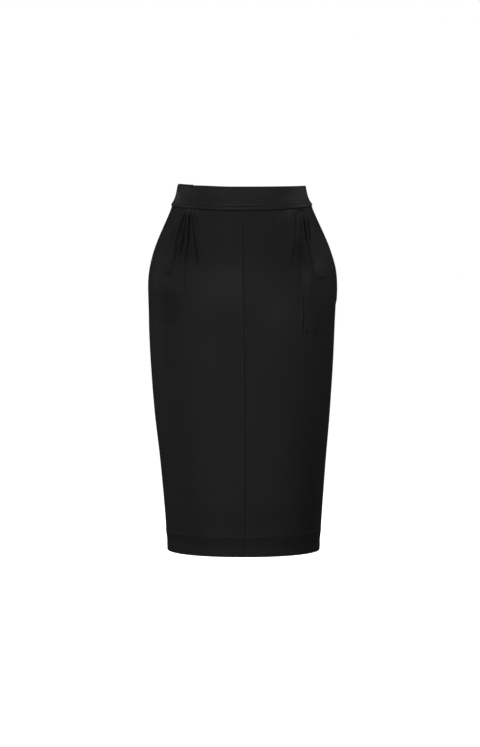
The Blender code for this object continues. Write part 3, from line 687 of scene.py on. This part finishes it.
def makeFrontPanel(side, word):
    p = frontPanel
    turn, z, down, inner, outer = frontLattice(side)
    speed = metresPerTurn(turn, z)
    fromCentre = np.abs(turn - side * inner) * speed
    fromSide = (outer - np.abs(turn)) * speed
    across = flatCut(skin(turn, z))[..., 0]
    relief, paintedLight = frontRelief(side, turn, z, down, speed)
    relief += hemRelief(down, across) + drift(across, down, p["seed"] + side, *p["unevenness"])
    inSlit = ramp(down, cut["slitDown"], p["slitEase"])
    relief += rollIn(down, *p["waistRoll"]) + rollIn(fromSide, *p["sideRoll"])
    relief += rollIn(fromCentre, *(mix(*depths, inSlit) for depths in p["centreRoll"]))
    pressed = (1 - inSlit) * ramp(down, *p["pressed"])
    low = ramp(down, *p["seamChange"])
    height, width, at = p["seamRidge"]
    relief += height * bell(fromCentre, side * mix(*at, low), width) * pressed
    # painted highlight and painted shade in lines beside the centre seam
    share, width, at = p["seamTone"][side]
    paintedLight *= 1 + share * bell(fromCentre, mix(*at, low), width) * pressed
    # painted shade below the hem's turn-up line
    paintedLight *= 1 - p["hemTone"] * ramp(down, hemTop, hem["ease"])
    seamed = False
    for away, (reach, start) in ((fromCentre, p["centreAllowance"]), (fromSide, p["sideAllowance"])):
        seamed = seamed | (away < reach) & (down > start)
    piece = makePanel("frontPanel" + word.capitalize(), turn, z, down, relief, False, seamed, paintedLight)
    settle(piece, "front_panel_" + word, p["flat"], p["area"])


makePair(makeFrontPanel, "front panels")

# lengths are in metres, but in folds and swells they are in millimetres
backPanel = dict(
    flat=(0.275, 0.655), area=0.158,
    rows=[(0.0012, 0.0003), (0.006, 0.0008), (0.130, 0.0026), (0.240, 0.0030), (0.560, 0.0055),
          (0.600, 0.0016), (0.6125, 0.0012), (0.6155, 0.0003)],
    columns=[(0.004, 0.001), (0.012, 0.002), (0.405, 0.0105), (0.435, 0.0025), (0.988, 0.0105),
             (0.996, 0.002), (1.0, 0.001)],
    shading=dict(hollow=(0.32, 0.0026), ridge=(0.12, 0.0010), seam=(0.45, 0.0010)),
    # folds: from the centre back at top and foot, start and end down, depth, half width
    folds={
        -1: [(146, 168, 4, 105, 2.8, 4), (122, 132, 4, 82, 1.6, 3.6), (46, 40, 8, 52, 0.9, 5),
             (182, 198, 60, 200, 1.1, 6.2)],
        1: [(150, 172, 4, 120, 2.6, 4.2), (128, 140, 3, 70, 1.8, 3.4), (50, 38, 6, 60, 1, 5),
            (186, 196, 50, 180, 1.2, 6)],
    },
    foldWiden=(0.8, 1.5), foldRise=0.15, foldFade=(0.4, 0.6), foldRidge=(0.3, 1.8),
    # soft drag lines under the seat: from the centre back, down, half width, half length, height
    swells={
        -1: [(66, 292, 52, 13, -0.7), (104, 352, 56, 17, 0.5), (70, 470, 45, 60, -0.6),
             (200, 250, 24, 50, 0.6)],
        1: [(60, 300, 50, 14, -0.7), (110, 345, 60, 16, 0.6), (50, 430, 40, 60, -0.5),
            (200, 240, 24, 50, 0.6)],
    },
    # the dart: its place as a share of the width, and the soft ridge beside it as height, distance and width
    dart=dict(share=0.42, length=0.115, depth=0.0010, halfWidth=0.0013, paintedLight=0.40,
              ridge=(0.0003, 0.005, 0.004)),
    waistRoll=(0.0012, 0.0010), centreRoll=(0.0014, 0.0012), sideRoll=(0.0010, 0.0010),
    centreAllowance=0.0145, sideAllowance=(0.014, 0.002), belowZip=0.010, unevenness=(0.0003, 0.13), seed=31,
)


def makeBackPanel(side, word):
    p = backPanel
    down = stations(p["rows"])[:, None]
    share = stations(p["columns"])[None, :]
    level = levelAt(down)
    inner = turnFor(cut["joinHalf"], math.pi, level)
    outer = quarter - turnFor(cut["joinHalf"], quarter + 2 * smallTurn, level)
    turn = side * (math.pi - mix(inner, outer, share))
    down = np.broadcast_to(down, turn.shape)
    z = panelHeight(turn, down)
    fromBack = flatCut(skin(turn, z))[..., 0]
    width = fromBack[:, -1:]
    fromSide = width - fromBack
    relief = np.zeros_like(turn)
    ridge, ridgeAt = p["foldRidge"]
    for top, foot, start, end, depth, halfWidth in inMetres(p["folds"][side], 6):
        along = np.clip((down - start) / (end - start), 0, 1)
        aside = (fromBack - mix(top, foot, along)) / (halfWidth * mix(*p["foldWiden"], along))
        strength = smooth(along / p["foldRise"]) * (1 - ramp(along, *p["foldFade"]))
        relief += depth * strength * (ridge * bell(aside, ridgeAt) - bell(aside))
    # painted shade in the folds and painted highlights on their ridges
    paintedLight = reliefTone(relief, down, **p["shading"])
    relief += hemRelief(down, fromBack) + drift(fromBack, down, p["seed"] + side, *p["unevenness"])
    for height, here in patches(p["swells"][side], 5, lambda across: fromBack - across, down):
        relief += height * here
    dart = p["dart"]
    dartAt = dart["share"] * width
    fade = np.clip(1 - down / dart["length"], 0, 1)
    pinch = np.sqrt(fade) * bell(fromBack, dartAt, dart["halfWidth"])
    height, beside, ridgeWidth = dart["ridge"]
    relief += height * fade * bell(fromBack, dartAt - beside, ridgeWidth) - dart["depth"] * pinch
    # painted shade along the dart
    paintedLight *= 1 - dart["paintedLight"] * pinch
    relief += rollIn(down, *p["waistRoll"])
    relief += rollIn(fromBack, *p["centreRoll"]) + rollIn(fromSide, *p["sideRoll"])
    reach, start = p["sideAllowance"]
    atCentre = fromBack < p["centreAllowance"]
    seamed = atCentre | (fromSide < reach) & (down > start)
    zipEdge = atCentre & (down < cut["zipDown"] + p["belowZip"])
    piece = makePanel("backPanel" + word.capitalize(), turn, z, down, relief, zipEdge, seamed, paintedLight)
    settle(piece, "back_panel_" + word, p["flat"], p["area"])


makePair(makeBackPanel, "back panels")

# lengths are in metres, but in tones they are in millimetres
waistband = dict(
    # name, node, the turns where each piece starts and ends, columns, which end is at the zip, flat size
    pieces=[
        ("waistbandFront", "waistband_front", -quarter, quarter, 260, 0, (0.352, 0.041)),
        ("waistbandBackLeft", "waistband_back_left", quarter, math.pi, 120, 1, (0.181, 0.041)),
        ("waistbandBackRight", "waistband_back_right", -math.pi, -quarter, 120, -1, (0.181, 0.041)),
    ],
    topRows=[(0.0016, 0.0002), (0.004, 0.0006), (0.026, 0.0022)],
    footRows=[(0.0014, 0.0002), (0.0090, 0.0004)],
    endColumns=(0, 0.0003, 0.0007, 0.0012), plainFrom=0.0022, endReach=0.02,
    rollRadius=0.0013, crown=0.0004, halfHeight=0.021, thinnest=0.0002,
    grooveAt=0.0076, grooveDepth=0.00022, grooveWidth=0.0008, grooveTone=0.15, ridge=0.0002, ridgeEase=0.0012,
    footRoll=(0.0015, 0.0018), endRoll=(0.0010, 0.0006), footFlare=(0.0014, 0.010, 6),
    # the slit above the zip: half its width, how far down it stays open and where it has closed
    splitHalf=0.0011, splitLength=0.0085, splitFoot=0.0130,
    # the top edge stands higher at the right, with a small step below it; spans are turns with their eases
    lift=dict(span=(-2.10, -0.83, 0.60, 0.05), height=(0.0020, 0.0012), fall=(-1.3, 0.45), reach=0.006,
              step=0.0009, below=0.0024, ease=0.0006, shade=0.50),
    rise=dict(span=(-2.60, -0.15, 0.60, 0.60), height=0.0015, reach=0.020),
    seamTone=(0.5, 0.0010), unevenness=(0.0003, 0.06), seed=51,
    # painted highlight along the band's top edge: how strong, and how far down it reaches
    topShine=(0.15, 0.009),
    # painted highlight near its sides: how strong, and the shares of its half width where that starts and is
    # full
    endShine={-1: (0.70, 0.87, 0.96), 1: (0.50, 0.84, 0.98)}, endShineRise=0.004,
    # painted highlights and painted shade: across, above the seam, half width, half height, share
    tones={
        -1: [(115.8, 18, 22, 11, 1.1), (112, 8.5, 20, 2.2, 0.45), (112, 1.2, 22, 2.4, -0.5),
             (95, 25, 22, 13, -0.16), (96, 37, 22, 5, -0.25)],
        1: [(113, 16, 18, 14, 0.45), (107, 6, 34, 3.6, 0.3), (106, 35, 14, 3.5, -0.14)],
    },
)
bandLines = []


# 1 between two turns, with an ease in after the first and an ease out before the last
def between(turn, first, last, easeIn, easeOut):
    return smooth((turn - first) / easeIn) * smooth((last - turn) / easeOut)


# how far the slit above the zip has closed
def splitClosed(fromTop):
    return ramp(fromTop, waistband["splitLength"], waistband["splitFoot"] - waistband["splitLength"])


def makeWaistband(name, node, first, last, columns, zipEnd, flat):
    p = waistband
    ends = np.array(p["endColumns"])
    plain = np.linspace(p["plainFrom"], 1 - p["plainFrom"], columns + 1 - 2 * len(ends))
    turn = mix(first, last, np.concatenate([ends, plain, 1 - ends[::-1]])[None, :])
    top, seam = topEdge(turn), waistSeam(turn) + cut["joinHalf"]
    z = np.concatenate([top - stations(p["topRows"])[:, None], seam + stations(p["footRows"])[::-1, None]])
    fromTop, above = top - z, z - seam
    turn = np.broadcast_to(turn, z.shape).copy()
    speed = metresPerTurn(turn, z)
    slit = mix(p["splitHalf"], cut["joinHalf"], splitClosed(fromTop))
    for end, edge in ((-1, first), (1, last)):
        half = slit if end == zipEnd else cut["joinHalf"]
        turn -= end * half / speed * (1 - smooth(np.abs(turn - edge) * speed / p["endReach"]))
    arc = np.cumsum(speed * np.diff(turn, axis=1, prepend=turn[:, :1]), axis=1)
    groove = bell(above, p["grooveAt"], p["grooveWidth"])
    topRoll = rollIn(fromTop, p["rollRadius"], p["rollRadius"])
    flare, reach, power = p["footFlare"]
    relief = topRoll + rollIn(above, *p["footRoll"]) - p["grooveDepth"] * groove
    relief += p["crown"] * (1 - (above / p["halfHeight"] - 1) ** 2).clip(0, 1)
    relief += p["ridge"] * smooth((p["grooveAt"] - above) / p["ridgeEase"])
    relief += flare * smooth(1 - above / reach) * np.abs(np.sin(turn)) ** power
    relief += drift(arc, above, p["seed"], *p["unevenness"])
    for edge in (0, -1):
        relief += rollIn(np.abs(arc - arc[:, [edge]]), *p["endRoll"])
    lift, rise = p["lift"], p["rise"]
    inLift, inRise = between(turn, *lift["span"]), between(turn, *rise["span"])
    step = inLift * smooth((lift["below"] - fromTop) / lift["ease"])
    relief -= lift["step"] * step
    z = z + mix(*lift["height"], ramp(turn, *lift["fall"])) * inLift * smooth(1 - fromTop / lift["reach"])
    z = z + rise["height"] * inRise * smooth(1 - fromTop / rise["reach"])
    # painted shade where the band goes into the waist seam, in its groove and in the step under the lifted
    # top edge
    share, reach = p["seamTone"]
    paintedLight = 1 - share * (1 - smooth(above / reach)) - p["grooveTone"] * groove
    paintedLight *= 1 - lift["shade"] * step
    # painted highlights near the band's sides, and the listed spots of painted highlight and shade
    for side, (shine, begin, full) in p["endShine"].items():
        paintedLight *= 1 + shine * ramp(side * np.sin(turn), begin, full - begin) * smooth(above / p["endShineRise"])

        def away(across):
            return (side * turn - turnAt(across, z)) * speed

        for share, here in patches(p["tones"][side], 4, away, above):
            paintedLight *= 1 + share * here
    # painted highlight along the top edge, strongest in front
    shine, reach = p["topShine"]
    paintedLight *= 1 + shine * (1 - smooth(fromTop / reach)) * np.cos(turn).clip(0, 1)
    wall = (cut["band"] + 2 * topRoll).clip(p["thinnest"])
    piece, outer, _, normal = makeShell(name, turn, z, relief, wall, bandCloth, paintedLight)
    settle(piece, node, flat, None)
    row = int(np.argmin(np.abs(above[:, above.shape[1] // 2] - p["grooveAt"])))
    bandLines.append((outer[row], normal[row]))


for band in waistband["pieces"]:
    makeWaistband(*band)
print("waistband made")

pocketBag = dict(
    flat={-1: (0.105, 0.220), 1: (0.105, 0.238)}, rows=70, columns=34,
    top=0.002, foot={-1: 0.208, 1: 0.226}, first=(0.55, 0.45), hipDown=0.120, corner=0.030, cornerShare=0.35,
    seamClear=0.0008, hang=0.0030, hangReach=0.2,
    ripple=(0.0009, 0.05), rippleReach=0.4, rippleMost=0.0004, seed=71,
)


def makePocketBags(side, word):
    for layer in (0, 1):
        makePocketBag(side, word, layer)


def makePocketBag(side, word, layer):
    p = pocketBag
    row = np.linspace(0, 1, p["rows"] + 1)[:, None]
    column = np.linspace(0, 1, p["columns"] + 1)[None, :]
    rounded = p["foot"][side] + rollIn(column, p["cornerShare"], p["corner"])
    down = mix(p["top"], rounded, row)
    level = levelAt(down)
    share = mix(mix(*p["first"], smooth(down / p["hipDown"])), 1.0, column)
    outer = quarter - turnFor(cut["gap"] / 2, quarter - 2 * smallTurn, level)
    turn = side * mix(side * centreFrontTurn(level), outer, share)
    z = panelHeight(turn, down)
    across = flatCut(skin(turn, z))[..., 0]
    toSide = 1 - column
    ripple = drift(across, down, p["seed"] + layer + 2 * side, *p["ripple"])
    ripple = np.minimum(ripple * smooth(toSide / p["rippleReach"]), p["rippleMost"])
    face = cut["cloth"] + p["seamClear"] + layer * (cut["bag"] + cut["gap"])
    depth = ripple - p["hang"] * smooth(toSide / p["hangReach"]) - face
    name = "pocketBag" + ("Front", "Back")[layer] + word.capitalize()
    piece = makeShell(name, turn, z, depth, cut["thin"], bagCloth)[0]
    node = "pocket_bag_" + ("front_", "back_")[layer] + word
    settle(piece, node, p["flat"][side], None)


makePair(makePocketBags, "pocket bags")

zipTape = dict(flat=(0.0125, 0.240), width=0.0125, columns=9, bandRows=26, panelRows=90,
               belowTop=0.0012, lap=0.0003, panelStart=0.0005)


def makeZipTape(side, word):
    p = zipTape
    top, seam = float(topEdge(math.pi)), float(waistSeam(math.pi))
    bandZ = np.linspace(top - p["belowTop"], seam + p["lap"], p["bandRows"])
    panelZ = panelHeight(math.pi, np.linspace(p["panelStart"], cut["zipDown"], p["panelRows"]))
    z = np.concatenate([bandZ, panelZ])[:, None]
    behind = np.repeat([cut["band"], cut["turned"]], [p["bandRows"], p["panelRows"]])[:, None] + cut["gap"]
    start = mix(waistband["splitHalf"], cut["gap"] / 2, splitClosed(top - z))
    away = np.maximum(np.linspace(0, p["width"], p["columns"])[None, :], start)
    turn = side * (math.pi - turnFor(away, math.pi, z))
    z = np.broadcast_to(z, turn.shape)
    flat = flatCut(place(turn, z, -behind))
    piece = makeShell("zipTape" + word.capitalize(), turn, z, -behind, cut["thin"], tapeCloth, flat=flat)[0]
    settle(piece, "zip_tape_" + word, p["flat"], None)


makePair(makeZipTape, "zip tapes")

# the coil starts just below the slider, which is above the waist seam, and ends above the tapes' foot
zipCoil = dict(first=-0.0155, foot=0.006, pitch=0.0013, samples=2100, overlap=0.0006,
               halfWidth=0.0011, halfHeight=0.00045, filament=0.00042, stand=1.2)


def deselect():
    bpy.ops.object.select_all(action="DESELECT")


# a flattened spiral of one thick filament sewn along each tape's inner side
def makeZipCoil(side, word):
    p = zipCoil
    downs = np.linspace(p["first"], cut["zipDown"] - p["foot"], p["samples"])
    phase = 2 * math.pi * (downs - downs[0]) / p["pitch"] + (math.pi if side < 0 else 0.0)
    z = panelHeight(math.pi, downs)
    across = p["halfWidth"] * (1 + np.cos(phase)) - p["overlap"]
    behind = cut["turned"] + cut["gap"] + cut["thin"] + p["halfHeight"] * (p["stand"] + np.sin(phase))
    points = place(side * (math.pi - turnFor(across, math.pi, z)), z, -behind)
    path = bpy.data.curves.new("zipCoil" + word.capitalize(), "CURVE")
    adjust(path, dimensions="3D", bevel_depth=p["filament"] / 2, bevel_resolution=1, use_fill_caps=True)
    spline = path.splines.new("POLY")
    spline.points.add(len(points) - 1)
    places = np.column_stack([points, np.ones(len(points))])
    spline.points.foreach_set("co", places.astype(np.float32).ravel())
    deselect()
    coil = addObject(path.name, path)
    coil.select_set(True)
    bpy.context.view_layer.objects.active = coil
    bpy.ops.object.convert(target="MESH")
    coil = bpy.context.object
    coil.data.shade_smooth()
    wear(coil, blackNylon)
    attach(coil, "skirt")


makePair(makeZipCoil, "zip coils")
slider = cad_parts["zip_slider"]
wear(slider, blackEnamel)

# the pull tab lies along -Y with its pivot at the origin, then leans into its place
pullTab = dict(
    pivot=(-0.000724, 0.090583, 0.003424), lean=math.radians(102.89),
    above=0.0006, length=0.0216, thickness=0.0012, headHalf=0.00265, footHalf=0.0032,
    neck=0.0054, footStart=0.0178, footRound=(0.0031, 8), headRound=(0.0009, 4),
    eyeHalf=0.00135, eyeTop=0.0006, eyeFoot=0.0040, eyeRound=(0.0005, 3),
    panelInset=0.00065, panelDepth=0.00022, edgeRound=0.00014, edgeFrom=40, smoothTo=32, near=0.0001,
)


def applyPlace():
    bpy.ops.object.transform_apply(location=True, rotation=True, scale=True)


def setMode(mode):
    bpy.ops.object.mode_set(mode=mode)


# a block of a given size, ready to be shaped
def addBlock(middle, size):
    deselect()
    bpy.ops.mesh.primitive_cube_add(size=1, location=(0, middle, 0))
    block = bpy.context.object
    block.scale = size
    applyPlace()
    setMode("EDIT")
    return block


# picks the corners, edges or faces whose middle passes a test
def pick(data, mode, test):
    bpy.ops.mesh.select_mode(type=mode)
    bpy.ops.mesh.select_all(action="DESELECT")
    setMode("OBJECT")
    for part in {"VERT": data.vertices, "EDGE": data.edges, "FACE": data.polygons}[mode]:
        corners = [data.vertices[k].co for k in ([part.index] if mode == "VERT" else part.vertices)]
        part.select = bool(test(sum(corners, Vector()) / len(corners)))
    setMode("EDIT")


# rounds the edges whose middle passes a test
def roundEdges(data, test, offset, segments):
    pick(data, "EDGE", test)
    bpy.ops.mesh.bevel(offset=offset, segments=segments, affect="EDGES")


def applyModifier(piece, name, kind, **settings):
    adjust(piece.modifiers.new(name, kind), **settings)
    bpy.ops.object.modifier_apply(modifier=name)


def bisectAt(spot, normal):
    bpy.ops.mesh.select_all(action="SELECT")
    bpy.ops.mesh.bisect(plane_co=spot, plane_no=normal)


def makePull():
    p = pullTab
    near, thickness = p["near"], p["thickness"]
    top, end = p["above"], p["above"] - p["length"]
    eyeSize = (2 * p["eyeHalf"], p["eyeFoot"] - p["eyeTop"], 3 * thickness)
    eye = addBlock(-(p["eyeTop"] + p["eyeFoot"]) / 2, eyeSize)
    roundEdges(eye.data, lambda spot: abs(spot.z) < thickness / 2, *p["eyeRound"])
    setMode("OBJECT")
    pull = addBlock((top + end) / 2, (2 * p["headHalf"], p["length"], thickness))
    pull.name = "zipPull"
    for at in (p["neck"], p["footStart"]):
        bisectAt((0, -at, 0), (0, 1, 0))
    pick(pull.data, "VERT", lambda spot: spot.y < -p["footStart"] + near)
    bpy.ops.transform.resize(value=(p["footHalf"] / p["headHalf"], 1, 1), center_override=(0, 0, 0))
    roundEdges(pull.data, lambda spot: abs(spot.z) < near and spot.y < end + near, *p["footRound"])
    roundEdges(pull.data, lambda spot: abs(spot.z) < near and spot.y > top - near, *p["headRound"])

    # the broad faces below the neck are joined and sunk, with a rim left round them
    def isBroad(spot):
        return abs(spot.z) > thickness / 2 - near and spot.y < -p["neck"]

    pick(pull.data, "FACE", isBroad)
    bpy.ops.mesh.dissolve_faces()
    pick(pull.data, "FACE", isBroad)
    bpy.ops.mesh.inset(thickness=p["panelInset"], depth=-p["panelDepth"], use_even_offset=True)
    setMode("OBJECT")
    applyModifier(pull, "eye", "BOOLEAN", object=eye, operation="DIFFERENCE", solver="EXACT")
    bpy.data.objects.remove(eye)
    applyModifier(pull, "edges", "BEVEL", width=p["edgeRound"], segments=2, limit_method="ANGLE",
                  angle_limit=math.radians(p["edgeFrom"]))
    setMode("EDIT")
    bpy.ops.mesh.select_all(action="SELECT")
    bpy.ops.mesh.normals_make_consistent(inside=False)
    setMode("OBJECT")
    bpy.ops.object.shade_smooth_by_angle(angle=math.radians(p["smoothTo"]))
    pull.rotation_euler = (p["lean"], 0, 0)
    pull.location = p["pivot"]
    applyPlace()
    wear(pull, blackEnamel)
    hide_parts("zip_pull")
    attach(pull, "zip_pull")


makePull()
print("metal finished")

stitching = dict(
    thread=0.00017, taper=0.35, dive=2.4, sink=0.00012,
    # length, pitch, how far from the line's ends the row starts and stops, and how far each stitch leans
    band=(0.0027, 0.0034, 0.004, 0.005, 0.0), hem=(0.0042, 0.0075, 0.006, 0.006, 0.9),
    tackLength=0.0068, tackHeight=0.0017, tackPitch=0.00042, tackThread=1.25,
    # where each tack lies: turn, height and how far out
    tacks=dict(
        slitTack=(centreFrontTurn(np.array(-0.3603)) + 0.016, -0.3603, 0.0002),
        mouthTopLeftTack=(quarter, -0.0450, 0.0001), mouthTopRightTack=(-quarter, -0.0450, 0.0001),
        mouthFootLeftTack=(quarter, -0.1940, 0.0001), mouthFootRightTack=(-quarter, -0.1940, 0.0001),
    ),
)


# one stitch: a short thread, proud in the middle, with both ends diving into the cloth
def makeStitch(name, length, radius):
    deselect()
    bpy.ops.mesh.primitive_cylinder_add(vertices=6, radius=radius, depth=length, end_fill_type="TRIFAN",
                                        rotation=(0, quarter, 0))
    stitch = bpy.context.object
    applyPlace()
    setMode("EDIT")
    for at in (-length / 4, length / 4):
        bisectAt((at, 0, 0), (1, 0, 0))
    setMode("OBJECT")
    for corner in stitch.data.vertices:
        end = abs(corner.co.x) / (length / 2)
        thinner = 1 - stitching["taper"] * end * end
        corner.co.z = corner.co.z * thinner - stitching["dive"] * radius * end ** 4
        corner.co.y *= thinner
    shape = stitch.data
    shape.name = name
    bpy.data.objects.remove(stitch)
    return shape


def unit(ways):
    return ways / np.linalg.norm(ways, axis=-1, keepdims=True)


# one mesh from a small shape laid at many spots; each has its way along and its way out
def layCopies(name, shape, spots, along, up):
    along = unit(along)
    side = unit(np.cross(up, along))
    frames = np.stack([along, side, np.cross(along, side)], axis=1)
    local = np.array([corner.co[:] for corner in shape.vertices])
    points = spots[:, None, :] + np.einsum("vk,nkx->nvx", local, frames)
    polygons = [list(face.vertices) for face in shape.polygons]
    faces = [[k + len(local) * copy for k in face] for copy in range(len(spots)) for face in polygons]
    data = bpy.data.meshes.new(name)
    data.from_pydata(points.reshape(-1, 3).tolist(), [], faces)
    data.shade_smooth()
    piece = addObject(name, data)
    wear(piece, blackThread)
    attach(piece, "skirt")


# points at even steps along a line, with the way the line runs and which way is out
def evenSteps(line, outs, step, first, spare):
    reach = np.concatenate([[0], np.cumsum(np.linalg.norm(np.diff(line, axis=0), axis=-1))])
    stops = np.arange(first, reach[-1] - spare, step)

    def along(values, at):
        return np.stack([np.interp(at, reach, values[:, k]) for k in range(3)], axis=-1)

    spots = along(line, stops)
    return spots, along(line, stops + step / 4) - spots, along(outs, stops)


# a row of stitches along lines on the cloth, which may lean up and down by turns
def sewRow(name, slot, lines, length, pitch, first, spare, lean):
    shape = makeStitch(name, length, stitching["thread"])
    laid = [evenSteps(line, outs, pitch, first, spare) for line, outs in lines]
    spots, along, up = (np.concatenate(part) for part in zip(*laid))
    leans = np.where(np.arange(len(spots)) % 2, lean, -lean)[:, None] * (0.0, 0.0, 1.0)
    layCopies(name + "es", shape, spots + up * stitching["sink"], unit(along) + leans, up)


# a bar tack: close stitches side by side over a seam's end
def sewTack(name, turn, z, lift):
    s = stitching
    shape = makeStitch(name + "Stitch", s["tackHeight"], s["thread"] * s["tackThread"])
    turn, z = np.array(turn), np.array(z)
    up = outward(turn, z)
    down = np.array((0.0, 0.0, -1.0))
    down = down - up * np.dot(down, up)
    steps = np.arange(-s["tackLength"] / 2, s["tackLength"] / 2, s["tackPitch"])
    spots = place(turn, z, lift) + steps[:, None] * unit(np.cross(up, down))
    layCopies(name, shape, spots, np.tile(down, (len(steps), 1)), np.tile(up, (len(steps), 1)))


sewRow("bandStitch", "waistband_cloth", bandLines, *stitching["band"])
sewRow("hemStitch", "black_cloth", hemLines, *stitching["hem"])
for name, tack in stitching["tacks"].items():
    sewTack(name, *tack)
print("stitches sewn")

studio = dict(
    floorZ=-1.0, floorRadius=9.0, paper=0.85, paperRough=0.9, ambient=0.05,
    camera=dict(place=(-0.0036, -5.0, 0.020), pitch=86.1355, lens=135.0),
    # softboxes, named as seen from the front: degrees round towards the wearer's left, degrees up, power
    boxes=dict(
        farLeftBox=(-85, 16, 14), edgeLeftBox=(-110, 2, 11), rearLeftBox=(-115, 32, 6),
        leftBox=(-38, 5, 28), lowFrontBox=(-20, -10, 15), frontBox=(-5, 5, 24), rightBox=(30, 5, 27),
        farRightBox=(80, 32, 22), edgeRightBox=(110, 16, 10), backLeftBox=(150, 6, 34),
        backRightBox=(-160, 6, 40), topBox=(160, 72, 14),
    ),
    boxSize=(1.5, 0.9), boxAway=4.0, aim=(0.0, 0.0, -0.28),
    glossyWithin=130,    # boxes further round than this light the cloth but don't mirror in it
)


def makeFloor():
    deselect()
    bpy.ops.mesh.primitive_circle_add(vertices=96, radius=studio["floorRadius"], fill_type="NGON",
                                      location=(0, 0, studio["floorZ"]))
    paper = bpy.context.object
    paper.name = "paleFloor"
    material, tree, shader = newMaterial("whitePaper")
    connect(tree, shader, {"Base Color": grey(studio["paper"]), "Roughness": studio["paperRough"],
                           "Emission Color": grey(1.0), "Emission Strength": 1.0})
    wear(paper, material)
    paper.visible_diffuse = False
    paper.visible_glossy = False


# white round about as the camera sees it, and dim as the cloth does
def makeSurround():
    world = bpy.data.worlds.new("studio")
    bpy.context.scene.world = world
    world.use_nodes = True
    tree = world.node_tree
    seen = addNode(tree, "LightPath", {})["Is Camera Ray"]
    strength = spread(tree, seen, studio["ambient"], 1.0)
    connect(tree, tree.nodes["Background"], {"Color": grey(1.0), "Strength": strength})


def addSoftbox(name, aside, up, power):
    around, above = math.radians(aside), math.radians(up)
    level = math.cos(above)
    offset = Vector((math.sin(around) * level, -math.cos(around) * level, math.sin(above)))
    light = bpy.data.lights.new(name, "AREA")
    light.shape = "RECTANGLE"
    light.size, light.size_y = studio["boxSize"]
    light.energy = power
    box = addObject(name, light)
    box.location = Vector(studio["aim"]) + offset * studio["boxAway"]
    box.rotation_euler = (-offset).to_track_quat("-Z", "Y").to_euler()
    box.visible_camera = False
    box.visible_glossy = abs(aside) < studio["glossyWithin"]


def addCamera():
    shot = studio["camera"]
    lens = bpy.data.cameras.new("camera")
    lens.lens = shot["lens"]
    lens.sensor_width = 36.0
    camera = addObject("camera", lens)
    camera.location = shot["place"]
    camera.rotation_euler = (math.radians(shot["pitch"]), 0.0, 0.0)
    bpy.context.scene.camera = camera


makeFloor()
makeSurround()
for name, box in studio["boxes"].items():
    addSoftbox(name, *box)
addCamera()
bpy.context.scene.view_settings.view_transform = "Standard"
print("studio made")
